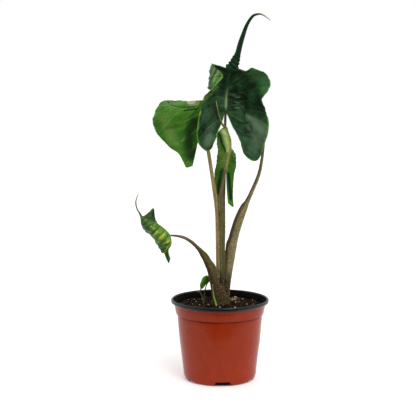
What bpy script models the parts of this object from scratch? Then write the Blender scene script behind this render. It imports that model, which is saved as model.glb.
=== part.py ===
"""Alocasia 'Stingray' in its nursery pot: a potted aroid with four leaves, a crumpled young leaf and sprouts.

Axes: +Z up, -Y is the display side, origin under the middle of the pot's floor. Sizes in millimetres below,
turned to metres by MM.
"""

import math

import bmesh
import bpy
from mathutils import Matrix, Vector

MM = 0.001
GAP = 0.3

# --- pot -------------------------------------------------------------------
POT_RIM_R = 80.0
POT_HEIGHT = 132.4
POT_BASE_R = 54.0
POT_WALL = 1.5
POT_FLOOR = 2.0
POT_STEPS = 40
COLLAR_TOP_R = 74.4
COLLAR_LOW_R = 71.6
WALL_TOP_R = 68.6
WALL_LOW_R = 60.6
STEP_Z = 107.0
NOTCHES = 6
NOTCH_TURN = 4.0
NOTCH_LOW_W = 31.5
NOTCH_TOP_W = 22.5
NOTCH_HIGH = 7.4

# --- soil ------------------------------------------------------------------
SOIL_TOP = 121.0
SOIL_EDGE_R = 71.6
SOIL_MOUND = 1.8
SOIL_STEPS = 30

# --- crown: where the leaf stalks stand packed together in the soil ---------
CROWN_CENTRE = (1.0, 2.0)
CROWN_HALF = (16.5, 11.5)
CROWN_BOTTOM = 104.0

# --- leaf blades -------------------------------------------------------------
BLADE = 0.8
RIB_WIDE = 1.7
COLUMNS = (0.0, 0.025, 0.08, 0.26, 0.5, 0.75, 1.0)
FEW_COLUMNS = (0.0, 0.12, 0.5, 1.0)
TAIL_STEP = 9.0
TAIL_PUCKER_STEP = 2.2
PUCKER_TURN = 1.1

# Each leaf: the rib runs from the sinus, where the stalk joins, to the base of the tail. A side is its main
# veins in turn, from the inner edge of the rear lobe to the tail: where it starts (0 to 1; below "fan" the
# vein starts at the sinus), its end at the margin, and how far it bows out of a straight line at its middle.
# The tail is its centre line with the half width and half thickness there.
LEAF_A = {
    "fan": 0.35, "rings": 27, "rib": 3.0, "ruffle": (1.3, 6.5, 1.6), "twist": 0.4, "columns": COLUMNS,
    "line": [(9, 5, 438), (10, 11, 459), (13, 15, 481), (19, 13, 502)],
    "left": [
        (0.00, (-14, -28, 381), (-1, -3, 0)), (0.06, (-21, -30, 377), (0, -4, 2)),
        (0.13, (-30, -29, 383), (-2, -6, 3)), (0.20, (-35, -27, 393), (-3, -7, 4)),
        (0.28, (-37, -23, 409), (-3, -6, 4)), (0.36, (-35, -19, 425), (0, -3, 4)),
        (0.44, (-32, -17, 441), (0, 2, 3)), (0.51, (-26, -18, 458), (0, 6, 1)),
        (0.56, (-19, -21, 469), (-5, 7, 2)), (0.60, (-13, -24, 474), (-16, 3, 3)),
        (0.66, (-3, -26, 483), (-22.5, 0, 5)), (0.72, (3, -26, 491), (-25.5, 0, 5)),
        (0.78, (3, -25, 497), (-25.5, 0, 6)), (0.84, (-4, -20, 503), (-21.5, -1, 7)),
        (0.90, (-14, -8, 514), (-6, 2, 2)), (0.95, (-3, 0, 510), (-1, 3, 0)),
        (1.00, (9, 10, 506), (0, 1, 0)),
    ],
    "right": [
        (0.00, (49, -36, 363), (-1, -4, 0)), (0.06, (57, -37, 360), (1, -5, 3)),
        (0.13, (64, -34, 374), (3, -6, 4)), (0.20, (70, -30, 389), (3, -5, 5)),
        (0.28, (76, -25, 405), (3, -2, 5)), (0.36, (77, -20, 425), (2, 3, 4)),
        (0.44, (72, -17, 439), (0, 9, 3)), (0.52, (67, -15, 455), (0, 13, 1)),
        (0.60, (73, -21, 468), (0, 15, 0)), (0.68, (78, -25, 482), (0, 15, 0)),
        (0.76, (69, -22, 496), (1, 13, 1)), (0.84, (60, -17, 504), (2, 10, 2)),
        (0.89, (50, -12, 507), (1, 7, 1)), (0.94, (43, -3, 502), (0, 4, 0)),
        (1.00, (29, 8, 506), (0, 1, 0)),
    ],
    "tail": [
        (19, 12, 506, 10.2, 2.4), (22.7, 11.5, 514, 8.0, 2.7), (25.5, 11, 521, 6.8, 2.8),
        (28.3, 10, 529, 4.6, 2.9),
        (32.5, 9, 545, 3.7, 2.6),
        (36, 8, 556, 3.2, 2.3), (43, 7, 575, 2.1, 1.8), (52, 5, 589, 1.6, 1.4), (60, 4, 592, 1.2, 1.1),
        (67, 3, 591, 0.9, 0.8), (80, 1, 582, 0.5, 0.5),
    ],
    "pucker": (1.4, 26.0),
}
LEAF_B = {
    "fan": 0.30, "rings": 20, "rib": 2.6, "ruffle": (1.0, 5.0, 1.6), "twist": 1.1, "columns": COLUMNS,
    "line": [(-31, 6, 446), (-44, 9, 450), (-60, 16, 450), (-75, 24, 451), (-87, 34, 451)],
    "left": [
        (0.00, (-46, -4, 351), (3, 3, 0)), (0.05, (-53, -5, 348), (3, 2, 1)),
        (0.10, (-58, -5, 356), (2, 2, 2)),
        (0.17, (-67, -4, 370), (1, 3, 2)), (0.25, (-80, -4, 379), (-1, 0, 2)),
        (0.36, (-97, -2, 397), (-3, -6, 2)), (0.46, (-104, 0, 406), (-4, -9, 2)),
        (0.56, (-108, 4, 423), (-4, -11, 1)), (0.68, (-105, 8, 436), (-2, -11, 0)),
        (0.78, (-100, 13, 444), (-1, -8, 0)), (0.90, (-94, 21, 450), (0, -4, 0)),
        (1.00, (-89, 29, 453), (0, -1, 0)),
    ],
    "right": [
        (0.00, (-41, 54, 372), (1, 4, 10)), (0.07, (-46, 62, 368), (0, 4, 12)),
        (0.16, (-58, 72, 380), (0, 4, 14)), (0.25, (-70, 79, 392), (0, 4, 14)),
        (0.36, (-82, 82, 404), (0, 4, 13)), (0.46, (-92, 80, 415), (0, 3, 12)),
        (0.56, (-99, 74, 426), (0, 2, 10)), (0.68, (-102, 66, 436), (0, 1, 8)),
        (0.78, (-102, 57, 443), (0, 0, 6)), (0.90, (-98, 47, 448), (0, 0, 3)),
        (1.00, (-90, 41, 451), (0, 0, 1)),
    ],
    "tail": [
        (-91, 37, 451, 6.5, 1.8), (-96, 44, 448, 3.6, 2.1), (-99, 53, 440, 2.8, 2.0),
        (-100, 61, 426, 2.2, 1.7),
        (-97, 66, 410, 1.6, 1.3), (-92, 68, 394, 1.0, 0.9), (-88, 68, 384, 0.5, 0.5),
    ],
    "pucker": (0.9, 10.0),
}
LEAF_C = {
    "fan": 0.35, "rings": 20, "rib": 2.2, "ruffle": (0.7, 5.5, 1.6), "twist": 0.2, "columns": COLUMNS,
    "line": [(10, 0, 345), (13, -3, 364), (17, -5, 378), (17, -6, 391), (14, -7, 401), (10, -7, 412)],
    "left": [
        (0.00, (0, 6, 296), (-2, 1, 0)), (0.08, (-4, 8, 293), (-2, 1, 0)),
        (0.18, (-8, 9, 311), (-2, 1, 0)), (0.28, (-9, 9, 330), (-2, 1, 0)),
        (0.38, (-8, 9, 343), (-1, 0, 0)), (0.50, (-5, 8, 359), (0, -2, 0)),
        (0.62, (-4, 8, 375), (0, -5, 0)), (0.74, (-5, 6, 388), (-1, -6, 1)),
        (0.86, (-5, 1, 401), (-1, -5, 1)), (0.94, (0, -5, 408), (0, -2, 0)),
        (1.00, (6, -7, 413), (0, 0, 0)),
    ],
    "right": [
        (0.00, (13, -4, 291), (-1, 0, 0)), (0.08, (21, -5, 285), (-1, 0, 0)),
        (0.18, (21, -4, 297), (0, 0, 0)), (0.28, (21, -2, 313), (1, 0, 0)),
        (0.38, (23, 1, 335), (1, 0, 0)), (0.50, (26, 3, 352), (1, -1, 0)),
        (0.60, (26, 5, 364), (1, -1, 0)), (0.68, (22, 10, 373), (0, 0, 0)),
        (0.76, (18, 14, 381), (0, 0, 0)), (0.84, (15.5, 15, 390), (0, 0, 0)),
        (0.92, (13.5, 9, 402), (0, 0, 0)),
        (1.00, (12, -4, 411), (0, 0, 0)),
    ],
    "tail": [
        (8, -8, 415, 2.6, 1.5), (3, -9, 421, 2.0, 1.5), (-2, -11, 428, 1.7, 1.3),
        (-6, -12, 441, 1.3, 1.1),
        (-8, -12, 456, 0.6, 0.6),
    ],
    "pucker": (0.5, 5.0),
}
LEAF_G = {
    "fan": 0.30, "rings": 15, "rib": 2.4, "ruffle": (1.2, 4.5, 1.6), "twist": 1.9, "columns": COLUMNS,
    "line": [(70, 24, 414), (65, 40, 424), (58, 60, 424), (51, 78, 414)],
    "left": [
        (0.00, (57, 18, 378), (1, 2, 4)), (0.08, (52, 20, 379), (0, 2, 6)),
        (0.20, (44, 28, 392), (0, 0, 8)), (0.35, (36, 38, 403), (0, 0, 9)),
        (0.50, (31, 50, 408), (0, 0, 9)), (0.65, (29, 63, 408), (0, 0, 8)),
        (0.80, (33, 76, 405), (0, 0, 6)), (0.92, (41, 83, 405), (0, 0, 3)),
        (1.00, (46, 82, 410), (0, 0, 1)),
    ],
    "right": [
        (0.00, (73, 31, 394), (2, 1, 2)), (0.08, (75, 35, 396), (2, 1, 3)),
        (0.20, (77, 43, 401), (2, 0, 4)), (0.35, (77, 53, 404), (2, 0, 5)),
        (0.50, (76, 66, 405), (1, 0, 5)), (0.65, (73, 78, 402), (1, 0, 5)),
        (0.80, (66, 87, 400), (0, 0, 4)), (0.92, (57, 88, 404), (0, 0, 2)),
        (1.00, (52, 84, 410), (0, 0, 1)),
    ],
    "tail": [
        (49, 83, 411, 3.8, 1.6), (47, 89, 406, 2.6, 1.7), (46, 95, 398, 1.8, 1.4),
        (46, 97, 388, 1.1, 1.0),
        (47, 97, 380, 0.5, 0.5),
    ],
    "pucker": (0.7, 5.0),
}
LEAF_D = {
    "fan": 0.30, "rings": 33, "rib": 1.6, "ruffle": (1.5, 8.5, 0.5), "twist": 0.0,
    "columns": (0.0, 0.05, 0.2, 0.45, 0.72, 1.0),
    "line": [(-80, -18, 239), (-89, -19, 249), (-102, -20, 259), (-114, -20, 266), (-124, -19, 268)],
    "left": [
        (0.00, (-86, -21, 217), (4, -3, 0)), (0.08, (-88, -22, 212), (5, -5, 0)),
        (0.20, (-93, -22, 211), (6, -8, 1)), (0.33, (-98, -22, 219), (4, -11, 1)),
        (0.46, (-103, -21, 227), (2, -12, 0)), (0.58, (-110, -21, 238), (0, -13, 0)),
        (0.70, (-119, -21, 245), (-2, -12, 0)), (0.82, (-124, -20, 251), (-2, -9, 0)),
        (0.92, (-127, -20, 258), (-1, -5, 0)), (1.00, (-127, -20, 265), (0, -1, 0)),
    ],
    "right": [
        (0.00, (-79, -12, 203), (-4, 3, 0)), (0.08, (-82, -13, 197), (-2, 3, 0)),
        (0.20, (-90, -12, 208), (0, 4, 0)), (0.35, (-95, -8, 226), (0, 5, 0)),
        (0.50, (-100, -7, 243), (0, 5, 0)), (0.63, (-104, -10, 258), (0, 3, 0)),
        (0.72, (-105, -13, 269), (0, 2, 0)), (0.79, (-107, -15, 283), (0, 1, 0)),
        (0.86, (-113, -17, 278), (0, 0, 0)), (0.93, (-118, -18, 274), (0, 0, 0)),
        (1.00, (-122, -19, 271), (0, 0, 0)),
    ],
    "tail": [
        (-126, -19, 269, 2.2, 1.3), (-129, -19, 275, 1.5, 1.2), (-133, -19, 282, 1.1, 1.0),
        (-135, -19, 290, 0.9, 0.9), (-134, -19, 297, 0.7, 0.7), (-130, -19, 305, 0.5, 0.5),
    ],
    "pucker": (0.2, 0.0),
}
LEAF_E = {
    "fan": 0.25, "rings": 9, "rib": 0.9, "ruffle": (0.3, 3.0, 1.6), "twist": 0.7, "columns": FEW_COLUMNS,
    "line": [(-17, 13, 161), (-22, 12, 165), (-27, 11, 160), (-30, 11, 152)],
    "left": [
        (0.00, (-17, 9, 154), (0, -1, 0)), (0.25, (-21, 7, 154), (-1, -1, 1)),
        (0.55, (-26, 7, 153), (-1, -1, 1)), (0.80, (-29, 9, 150), (0, -1, 1)),
        (1.00, (-30, 11, 149), (0, 0, 0)),
    ],
    "right": [
        (0.00, (-18, 19, 158), (0, 1, 2)), (0.25, (-23, 20, 160), (0, 1, 3)),
        (0.55, (-29, 18, 159), (-1, 1, 3)), (0.80, (-32, 15, 154), (-1, 1, 1)),
        (1.00, (-31, 12, 150), (0, 0, 0)),
    ],
    "tail": [(-30.5, 11, 148, 0.9, 0.6), (-32, 11, 145, 0.6, 0.5), (-35.5, 11, 146, 0.4, 0.4)],
    "pucker": (0.0, 0.0),
}

# --- leaf stalks -------------------------------------------------------------
# Each stalk from the bottom: centre line point, half width, half depth, lean of its cut (0 level, 1 square to
# the line) and its sheath: how much thinner it gets towards one edge (plus: left edge thin, minus: right edge).
STALK_1 = [
    ((-2, 5, 104), 5.4, 5.0, 0, 0.0), ((-2, 5, 124), 5.4, 5.0, 0, 0.0),
    ((-1.5, 4.4, 150), 4.8, 4.8, 0, 0.0),
    ((-1, 2.8, 187), 4.2, 4.4, 0, 0.0), ((-1, 2, 217), 4.0, 4.2, 0, 0.0),
    ((-2, 2, 245), 3.8, 4.0, 0.3, 0.0),
    ((-3.5, 2, 268), 3.6, 3.8, 0.7, 0.0), ((-6, 1, 288), 3.5, 3.6, 1, 0.0),
    ((-9, 0, 309), 3.4, 3.4, 1, 0.0),
    ((-13, 0, 336), 3.3, 3.3, 1, 0.0), ((-19, 2, 374), 3.2, 3.2, 1, 0.0),
    ((-25, 4, 407), 3.0, 3.0, 1, 0.0),
    ((-27.6, 6.4, 428), 2.5, 2.5, 1, 0.0), ((-29.0, 7.4, 440.9), 2.0, 2.0, 1, 0.0),
]
STALK_A = [
    ((4.5, 9.5, 104), 4.4, 3.6, 0, 0.0), ((4.5, 9.5, 124), 4.4, 3.6, 0, 0.0),
    ((4.5, 9, 160), 4.0, 3.5, 0, 0.0),
    ((5, 8.5, 211), 3.6, 3.3, 0, 0.0), ((6, 8.5, 249), 3.2, 3.1, 0.6, 0.0),
    ((6.5, 8.5, 294), 2.7, 2.7, 1, 0.0),
    ((7.2, 9.5, 326), 2.5, 2.5, 1, 0.0), ((7.6, 11, 350), 2.4, 2.4, 1, 0.0),
    ((8, 12, 380), 2.4, 2.4, 1, 0.0),
    ((8.3, 11, 410), 2.3, 2.3, 1, 0.0), ((8.6, 9.8, 428), 2.2, 2.2, 1, 0.0),
    ((9.1, 8.7, 437), 1.9, 1.9, 1, 0.0),
]
STALK_C = [
    ((5.2, 2, 104), 4.4, 4.4, 0, 0.0), ((5.2, 2, 124), 4.4, 4.4, 0, -0.1),
    ((5.2, 1.5, 150), 4.1, 4.2, 0, -0.25),
    ((5, 0, 187), 3.9, 4.0, 0, -0.4), ((4.8, -1, 217), 3.8, 3.8, 0, -0.5),
    ((4.8, -1.5, 243), 4.2, 3.6, 0, -0.55),
    ((4.3, -2, 261), 4.0, 3.3, 0.4, -0.55), ((3.7, -2, 277), 3.4, 3.0, 0.8, -0.45),
    ((3.2, -2.4, 290), 2.8, 2.6, 1, -0.2), ((3, -3.0, 303), 2.4, 2.4, 1, 0.0),
    ((4.6, -3.6, 322), 2.2, 2.2, 1, 0.0),
    ((7.2, -3.6, 335), 2.0, 2.0, 1, 0.0), ((9.5, -3.0, 343.6), 1.6, 1.6, 1, 0.0),
]
STALK_3 = [
    ((11.5, 4.5, 104), 5.8, 6.0, 0, 0.0), ((11.5, 4.5, 124), 5.8, 6.0, 0, 0.0),
    ((11.2, 4.6, 145), 5.7, 5.8, 0, 0.1),
    ((12.6, 4.8, 170), 6.6, 5.5, 0, 0.3), ((15.5, 5, 195), 7.8, 5.2, 0, 0.45),
    ((18.3, 5.5, 216), 8.8, 5.0, 0.1, 0.55),
    ((21.5, 6, 230), 8.2, 4.8, 0.5, 0.6), ((25.5, 6.5, 244), 7.6, 4.6, 0.8, 0.6),
    ((31, 7, 261), 7.0, 4.4, 1, 0.6),
    ((36, 8, 274), 6.7, 4.2, 1, 0.6), ((40, 8.7, 283), 6.2, 4.0, 1, 0.5),
    ((44.6, 9.4, 291.5), 4.2, 3.7, 1, 0.25),
    ((50, 10.2, 303), 3.6, 3.4, 1, 0.05), ((63, 13, 334), 3.0, 3.0, 1, 0.0),
    ((68, 15, 358), 2.7, 2.7, 1, 0.0),
    ((71, 18, 384), 2.4, 2.4, 1, 0.0), ((71.6, 20.5, 400), 2.2, 2.2, 1, 0.0),
    ((70.5, 22.3, 410.9), 1.9, 1.9, 1, 0.0),
]
STALK_4 = [
    ((0, -5.2, 104), 15.6, 4.4, 0, 0.0), ((0, -5.2, 124), 15.4, 4.4, 0, 0.0),
    ((-1.6, -5.4, 139), 13.0, 4.4, 0, 0.0), ((-4.9, -5.6, 150), 10.4, 4.5, 0, -0.2),
    ((-7.8, -5.8, 161), 9.0, 4.7, 0, -0.4), ((-10.4, -6.2, 172), 8.4, 4.7, 0.1, -0.5),
    ((-13, -6.8, 183), 8.2, 4.6, 0.4, -0.55), ((-17, -7.5, 193), 6.9, 4.2, 0.8, -0.6),
    ((-20.8, -8.4, 201), 5.6, 3.8, 1, -0.6), ((-25, -9.4, 208), 4.2, 3.3, 1, -0.4),
    ((-30.5, -11, 214.5), 2.7, 2.7, 1, 0.0), ((-36, -12.3, 221), 2.4, 2.4, 1, 0.0),
    ((-43, -13.4, 228), 2.2, 2.2, 1, 0.0),
    ((-51, -14.4, 233.5), 2.1, 2.1, 1, 0.0), ((-60, -15.3, 237), 2.0, 2.0, 1, 0.0),
    ((-70, -16.3, 239), 1.9, 1.9, 1, 0.0),
    ((-78.9, -17.4, 238.9), 1.6, 1.6, 1, 0.0),
]
# Pairs of stalks that press together: names, height below which they do, and where the boundary lies between
# their centres (0 at the first, 1 at the second).
PRESSED = [
    ("stalk_1", "stalk_c", 275, 0.52), ("stalk_1", "stalk_a", 300, 0.52),
    ("stalk_c", "stalk_a", 290, 0.52),
    ("stalk_c", "stalk_3", 250, 0.46), ("stalk_a", "stalk_3", 240, 0.42),
    ("stalk_1", "stalk_3", 230, 0.45),
]
# The young leaf's sheath wraps the front of the other stalks: depth of that boundary at two heights.
WRAP_LOW = (-1.6, 104.0)
WRAP_HIGH = (-4.4, 204.0)
WRAP_TOP = 215.0
STALK_SIDES = 12
STALK_STEP = 14.0

# --- colours (linear) and roughness ------------------------------------------
TERRACOTTA = ((0.26, 0.045, 0.018), 0.42)
SOIL_BROWN = ((0.018, 0.010, 0.006), 0.95)
LEAF_DARK = ((0.012, 0.045, 0.016), 0.38)
LEAF_MID = ((0.055, 0.17, 0.025), 0.50)
LEAF_YOUNG = ((0.09, 0.22, 0.03), 0.50)
STALK_TAN = ((0.21, 0.14, 0.06), 0.60)
STALK_OLIVE = ((0.09, 0.08, 0.035), 0.60)
SPIKE_GREEN = ((0.17, 0.38, 0.06), 0.50)


def clear_scene():
    for thing in list(bpy.data.objects):
        bpy.data.objects.remove(thing, do_unlink=True)


def collection(name):
    made = bpy.data.collections.new(name)
    bpy.context.scene.collection.children.link(made)
    return made


def material(name, look):
    colour, rough = look
    made = bpy.data.materials.new(name)
    made.use_nodes = True
    shader = made.node_tree.nodes["Principled BSDF"]
    shader.inputs["Base Color"].default_value = (*colour, 1.0)
    shader.inputs["Roughness"].default_value = rough
    shader.inputs["Metallic"].default_value = 0.0
    return made


def new_object(name, mesh_bm, look, group, smooth=True):
    mesh = bpy.data.meshes.new(name)
    mesh_bm.to_mesh(mesh)
    mesh_bm.free()
    if smooth:
        mesh.shade_smooth()
        mesh.set_sharp_from_angle(angle=math.radians(50))
    mesh.materials.append(material(name + "_material", look))
    made = bpy.data.objects.new(name, mesh)
    group.objects.link(made)
    return made


def through(keys, places, s):
    """Smooth curve through keys, a list of equal-length tuples, at the rising places; s picks the point."""
    last = len(keys) - 1
    s = min(max(s, places[0]), places[last])
    k = 0
    while k < last - 1 and s > places[k + 1]:
        k += 1
    step = places[k + 1] - places[k]
    t = (s - places[k]) / step

    def slope(i, c):
        a = max(i - 1, 0)
        b = min(i + 1, last)
        return (keys[b][c] - keys[a][c]) / (places[b] - places[a])

    out = []
    for c in range(len(keys[0])):
        p, q = keys[k][c], keys[k + 1][c]
        m, n = slope(k, c) * step, slope(k + 1, c) * step
        out.append((2 * t**3 - 3 * t**2 + 1) * p + (t**3 - 2 * t**2 + t) * m
                   + (3 * t**2 - 2 * t**3) * q + (t**3 - t**2) * n)
    return out


def lengths(points):
    """Running length along a list of points, used as places for through()."""
    total = [0.0]
    for a, b in zip(points, points[1:]):
        total.append(total[-1] + math.dist(a[:3], b[:3]))
    return total


# --- leaves -------------------------------------------------------------------
def vein_point(leaf, side, s, t):
    """A point of the blade's middle surface: s runs over the veins, t along a vein from rib to margin."""
    places = [v[0] for v in leaf[side]]
    flat = [(*v[1], *v[2]) for v in leaf[side]]
    got = through(flat, places, s)
    run = lengths(leaf["line"])
    share = max(0.0, (s - leaf["fan"]) / (1.0 - leaf["fan"]))
    root = through(leaf["line"], run, share * run[-1])
    bow = math.sin(math.pi * t)
    return Vector([root[c] * (1 - t) + got[c] * t + got[c + 3] * bow for c in range(3)])


def blade_row(leaf, s, high):
    """One row across the leaf at s, from the left margin over the rib to the right margin, with ruffled edges."""
    size, waves, spread = leaf["ruffle"]
    row = []
    for side, sign in (("left", -1), ("right", 1)):
        points = []
        for t in leaf["columns"]:
            here = vein_point(leaf, side, s, t)
            ahead = vein_point(leaf, side, min(s + 0.02, 1), t) - vein_point(leaf, side, max(s - 0.02, 0), t)
            out = vein_point(leaf, side, s, min(t + 0.03, 1)) - vein_point(leaf, side, s, max(t - 0.03, 0))
            normal = ahead.cross(out) * sign
            if normal.length > 1e-6 and t > 0:
                normal.normalize()
                fade = math.sin(math.pi * min(s * 1.1, 1.0)) ** 0.5 if 0 < s < 0.909 else 0.0
                wave = math.sin(2 * math.pi * waves * s + leaf["twist"] + sign)
                here = here + normal * (size * fade * t**spread * wave)
            points.append(here)
        row.append(points)
    left, right = row

    def fat(points):
        return [BLADE + leaf["rib"] * high * math.exp(-((p - points[0]).length / RIB_WIDE) ** 2) for p in points]

    return left[::-1] + right[1:], fat(left)[::-1] + fat(right)[1:]


def tail_rows(leaf):
    """Rows along the tail: a strip whose thickness swells to its middle, puckered near the blade."""
    keys = leaf["tail"]
    run = lengths(keys)
    bump, reach = leaf["pucker"]
    across = Vector(vein_point(leaf, "right", 1, 1) - vein_point(leaf, "left", 1, 1)).normalized()
    count = len(leaf["columns"]) - 1
    rows = []
    near = int(reach / TAIL_PUCKER_STEP)
    far = max(4, round((run[-1] - reach) / TAIL_STEP))
    stops = [reach * i / near for i in range(near)] if near else []
    start = reach if near else 0.0
    stops += [start + (run[-1] - start) * i / far for i in range(far + 1)]
    for s in stops:
        x, y, z, wide, deep = through(keys, run, s)
        a = Vector(through(keys, run, max(s - 1, 0))[:3])
        b = Vector(through(keys, run, min(s + 1, run[-1]))[:3])
        side = across - (b - a).normalized() * across.dot((b - a).normalized())
        across = side.normalized()
        face = (b - a).normalized().cross(across)
        knob = bump * max(0.0, 1 - s / reach) if reach else 0.0
        row = []
        fat = []
        for j in range(-count, count + 1):
            u = j / count
            edge = 1 + (knob / wide) * math.sin(PUCKER_TURN * s + (0 if j < 0 else 2.2)) * abs(u)
            lift = knob * 0.6 * math.sin(0.8 * PUCKER_TURN * s + 3.0 * u)
            row.append(Vector((x, y, z)) + across * (wide * u * edge) + face * lift)
            fat.append(max(0.62, 2 * deep * math.sqrt(max(0.0, 1 - u * u))))
        rows.append((row, fat))
    return rows


def make_leaf(name, leaf, look, group):
    rings = leaf["rings"]
    rows = [blade_row(leaf, i / rings, 1.0 - 0.35 * i / rings) for i in range(rings + 1)]
    rows += tail_rows(leaf)[1:]
    bm = bmesh.new()
    grid = []
    fatness = {}
    thick = max(max(fat) for _, fat in rows)
    layer = bm.verts.layers.deform.verify()
    for row, fat in rows:
        line = []
        for point, f in zip(row, fat):
            vert = bm.verts.new(point * MM)
            vert[layer][0] = f / thick
            line.append(vert)
        grid.append(line)
    for low, high in zip(grid, grid[1:]):
        for j in range(len(low) - 1):
            bm.faces.new((low[j], low[j + 1], high[j + 1], high[j]))
    bmesh.ops.remove_doubles(bm, verts=bm.verts, dist=0.00002)
    bmesh.ops.dissolve_degenerate(bm, edges=bm.edges, dist=0.00001)
    bmesh.ops.triangulate(bm, faces=bm.faces)
    made = new_object(name, bm, look, group)
    made.vertex_groups.new(name="thickness")
    shell = made.modifiers.new("Solidify", "SOLIDIFY")
    shell.thickness = thick * MM
    shell.offset = 0.0
    shell.vertex_group = "thickness"
    return made


# --- stalks -------------------------------------------------------------------
def loft(rings):
    """Closed surface through rings of equal point count, with flat ends."""
    bm = bmesh.new()
    lines = [[bm.verts.new(p * MM) for p in ring] for ring in rings]
    count = len(rings[0])
    for low, high in zip(lines, lines[1:]):
        for j in range(count):
            k = (j + 1) % count
            bm.faces.new((low[j], low[k], high[k], high[j]))
    bm.faces.new(lines[0][::-1])
    bm.faces.new(lines[-1])
    bmesh.ops.triangulate(bm, faces=bm.faces)
    return bm


def stalk_frame(keys, run, s):
    x, y, z, wide, deep, lean, thin = through([(*k[0], *k[1:]) for k in keys], run, s)
    flat = [k[0] for k in keys]
    a = Vector(through(flat, run, max(s - 2, 0)))
    b = Vector(through(flat, run, min(s + 2, run[-1])))
    lean = min(max(lean, 0.0), 1.0)
    normal = (Vector((0, 0, 1)) * (1 - lean) + (b - a).normalized() * lean).normalized()
    depth = (Vector((0, 1, 0)) - normal * normal.y).normalized()
    return Vector((x, y, z)), wide, deep, thin, depth.cross(normal), depth


def stalk_centre(keys, z):
    """Centre of a stalk at height z, for the packed part, where its height rises along it."""
    heights = [k[0][2] for k in keys]
    rising = [h for i, h in enumerate(heights) if i == 0 or h > heights[i - 1]]
    return Vector(through([k[0] for k in keys[:len(rising)]], rising, z))


def pressed_planes(stalks):
    """For each stalk, the planes it stays behind: a point, the outward normal and the height they end at."""
    planes = {name: [] for name in stalks}
    for first, second, top, share in PRESSED:
        low, high = 110.0, min(top, 215.0)
        ends = []
        for z in (low, high):
            a, b = stalk_centre(stalks[first], z), stalk_centre(stalks[second], z)
            ends.append((a, b, a.lerp(b, share)))
        across = (ends[0][1] - ends[0][0]).normalized() + (ends[1][1] - ends[1][0]).normalized()
        rise = ends[1][2] - ends[0][2]
        across.z = -(across.x * rise.x + across.y * rise.y) / rise.z
        across.normalize()
        planes[first].append((ends[0][2], across, top))
        planes[second].append((ends[0][2], -across, top))
    origin = Vector((0, WRAP_LOW[0], WRAP_LOW[1]))
    back = Vector((0, 1, -(WRAP_HIGH[0] - WRAP_LOW[0]) / (WRAP_HIGH[1] - WRAP_LOW[1]))).normalized()
    for name in planes:
        planes[name].append((origin, back if name == "stalk_4" else -back, WRAP_TOP))
    return planes


def hold_in(centre, point, planes):
    """Pull a point back towards the stalk's centre until it is clear of every neighbour and of the soil."""
    offset = point - centre
    share = 1.0
    for origin, normal, top in planes:
        if point.z > top:
            continue
        reach = offset.dot(normal)
        room = (origin - centre).dot(normal) - GAP / 2 - 0.02
        if reach > 1e-9:
            share = min(share, max(room / reach, 0.05))
    point = centre + offset * share
    if point.z < SOIL_TOP + 15:
        across = (point.x - CROWN_CENTRE[0]) / CROWN_HALF[0]
        along = (point.y - CROWN_CENTRE[1]) / CROWN_HALF[1]
        far = math.hypot(across, along)
        if far > 1.0:
            point.x = CROWN_CENTRE[0] + across / far * CROWN_HALF[0]
            point.y = CROWN_CENTRE[1] + along / far * CROWN_HALF[1]
    return point


def make_stalk(name, keys, planes, look, group):
    run = lengths([k[0] for k in keys])
    steps = round(run[-1] / STALK_STEP)
    rings = []
    for i in range(steps + 1):
        centre, wide, deep, thin, right, depth = stalk_frame(keys, run, run[-1] * i / steps)
        ring = []
        for j in range(STALK_SIDES):
            turn = 2 * math.pi * j / STALK_SIDES
            u = math.cos(turn)
            v = math.sin(turn) * (1 + thin * u)
            edge = 1.0
            if thin < -0.05 and u > 0.5:
                edge += 0.10 * math.sin(centre.z / 4.2)
            ring.append(hold_in(centre, centre + right * (wide * u * edge) + depth * (deep * v), planes))
        rings.append(ring)
    return new_object(name, loft(rings), look, group)


def make_tube(name, keys, sides, look, group, flat=1.0):
    """Tapered tube along points with radii; flat squeezes it front to back."""
    run = lengths(keys)
    steps = max(4, int(run[-1] / 5))
    rings = []
    for i in range(steps + 1):
        s = run[-1] * i / steps
        x, y, z, radius = through(keys, run, s)
        a = Vector(through(keys, run, max(s - 1, 0))[:3])
        b = Vector(through(keys, run, min(s + 1, run[-1]))[:3])
        normal = (b - a).normalized()
        depth = (Vector((0, 1, 0)) - normal * normal.y).normalized()
        right = depth.cross(normal)
        rings.append([Vector((x, y, z)) + right * radius * math.cos(2 * math.pi * j / sides)
                      + depth * radius * flat * math.sin(2 * math.pi * j / sides) for j in range(sides)])
    return new_object(name, loft(rings), look, group)


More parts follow.
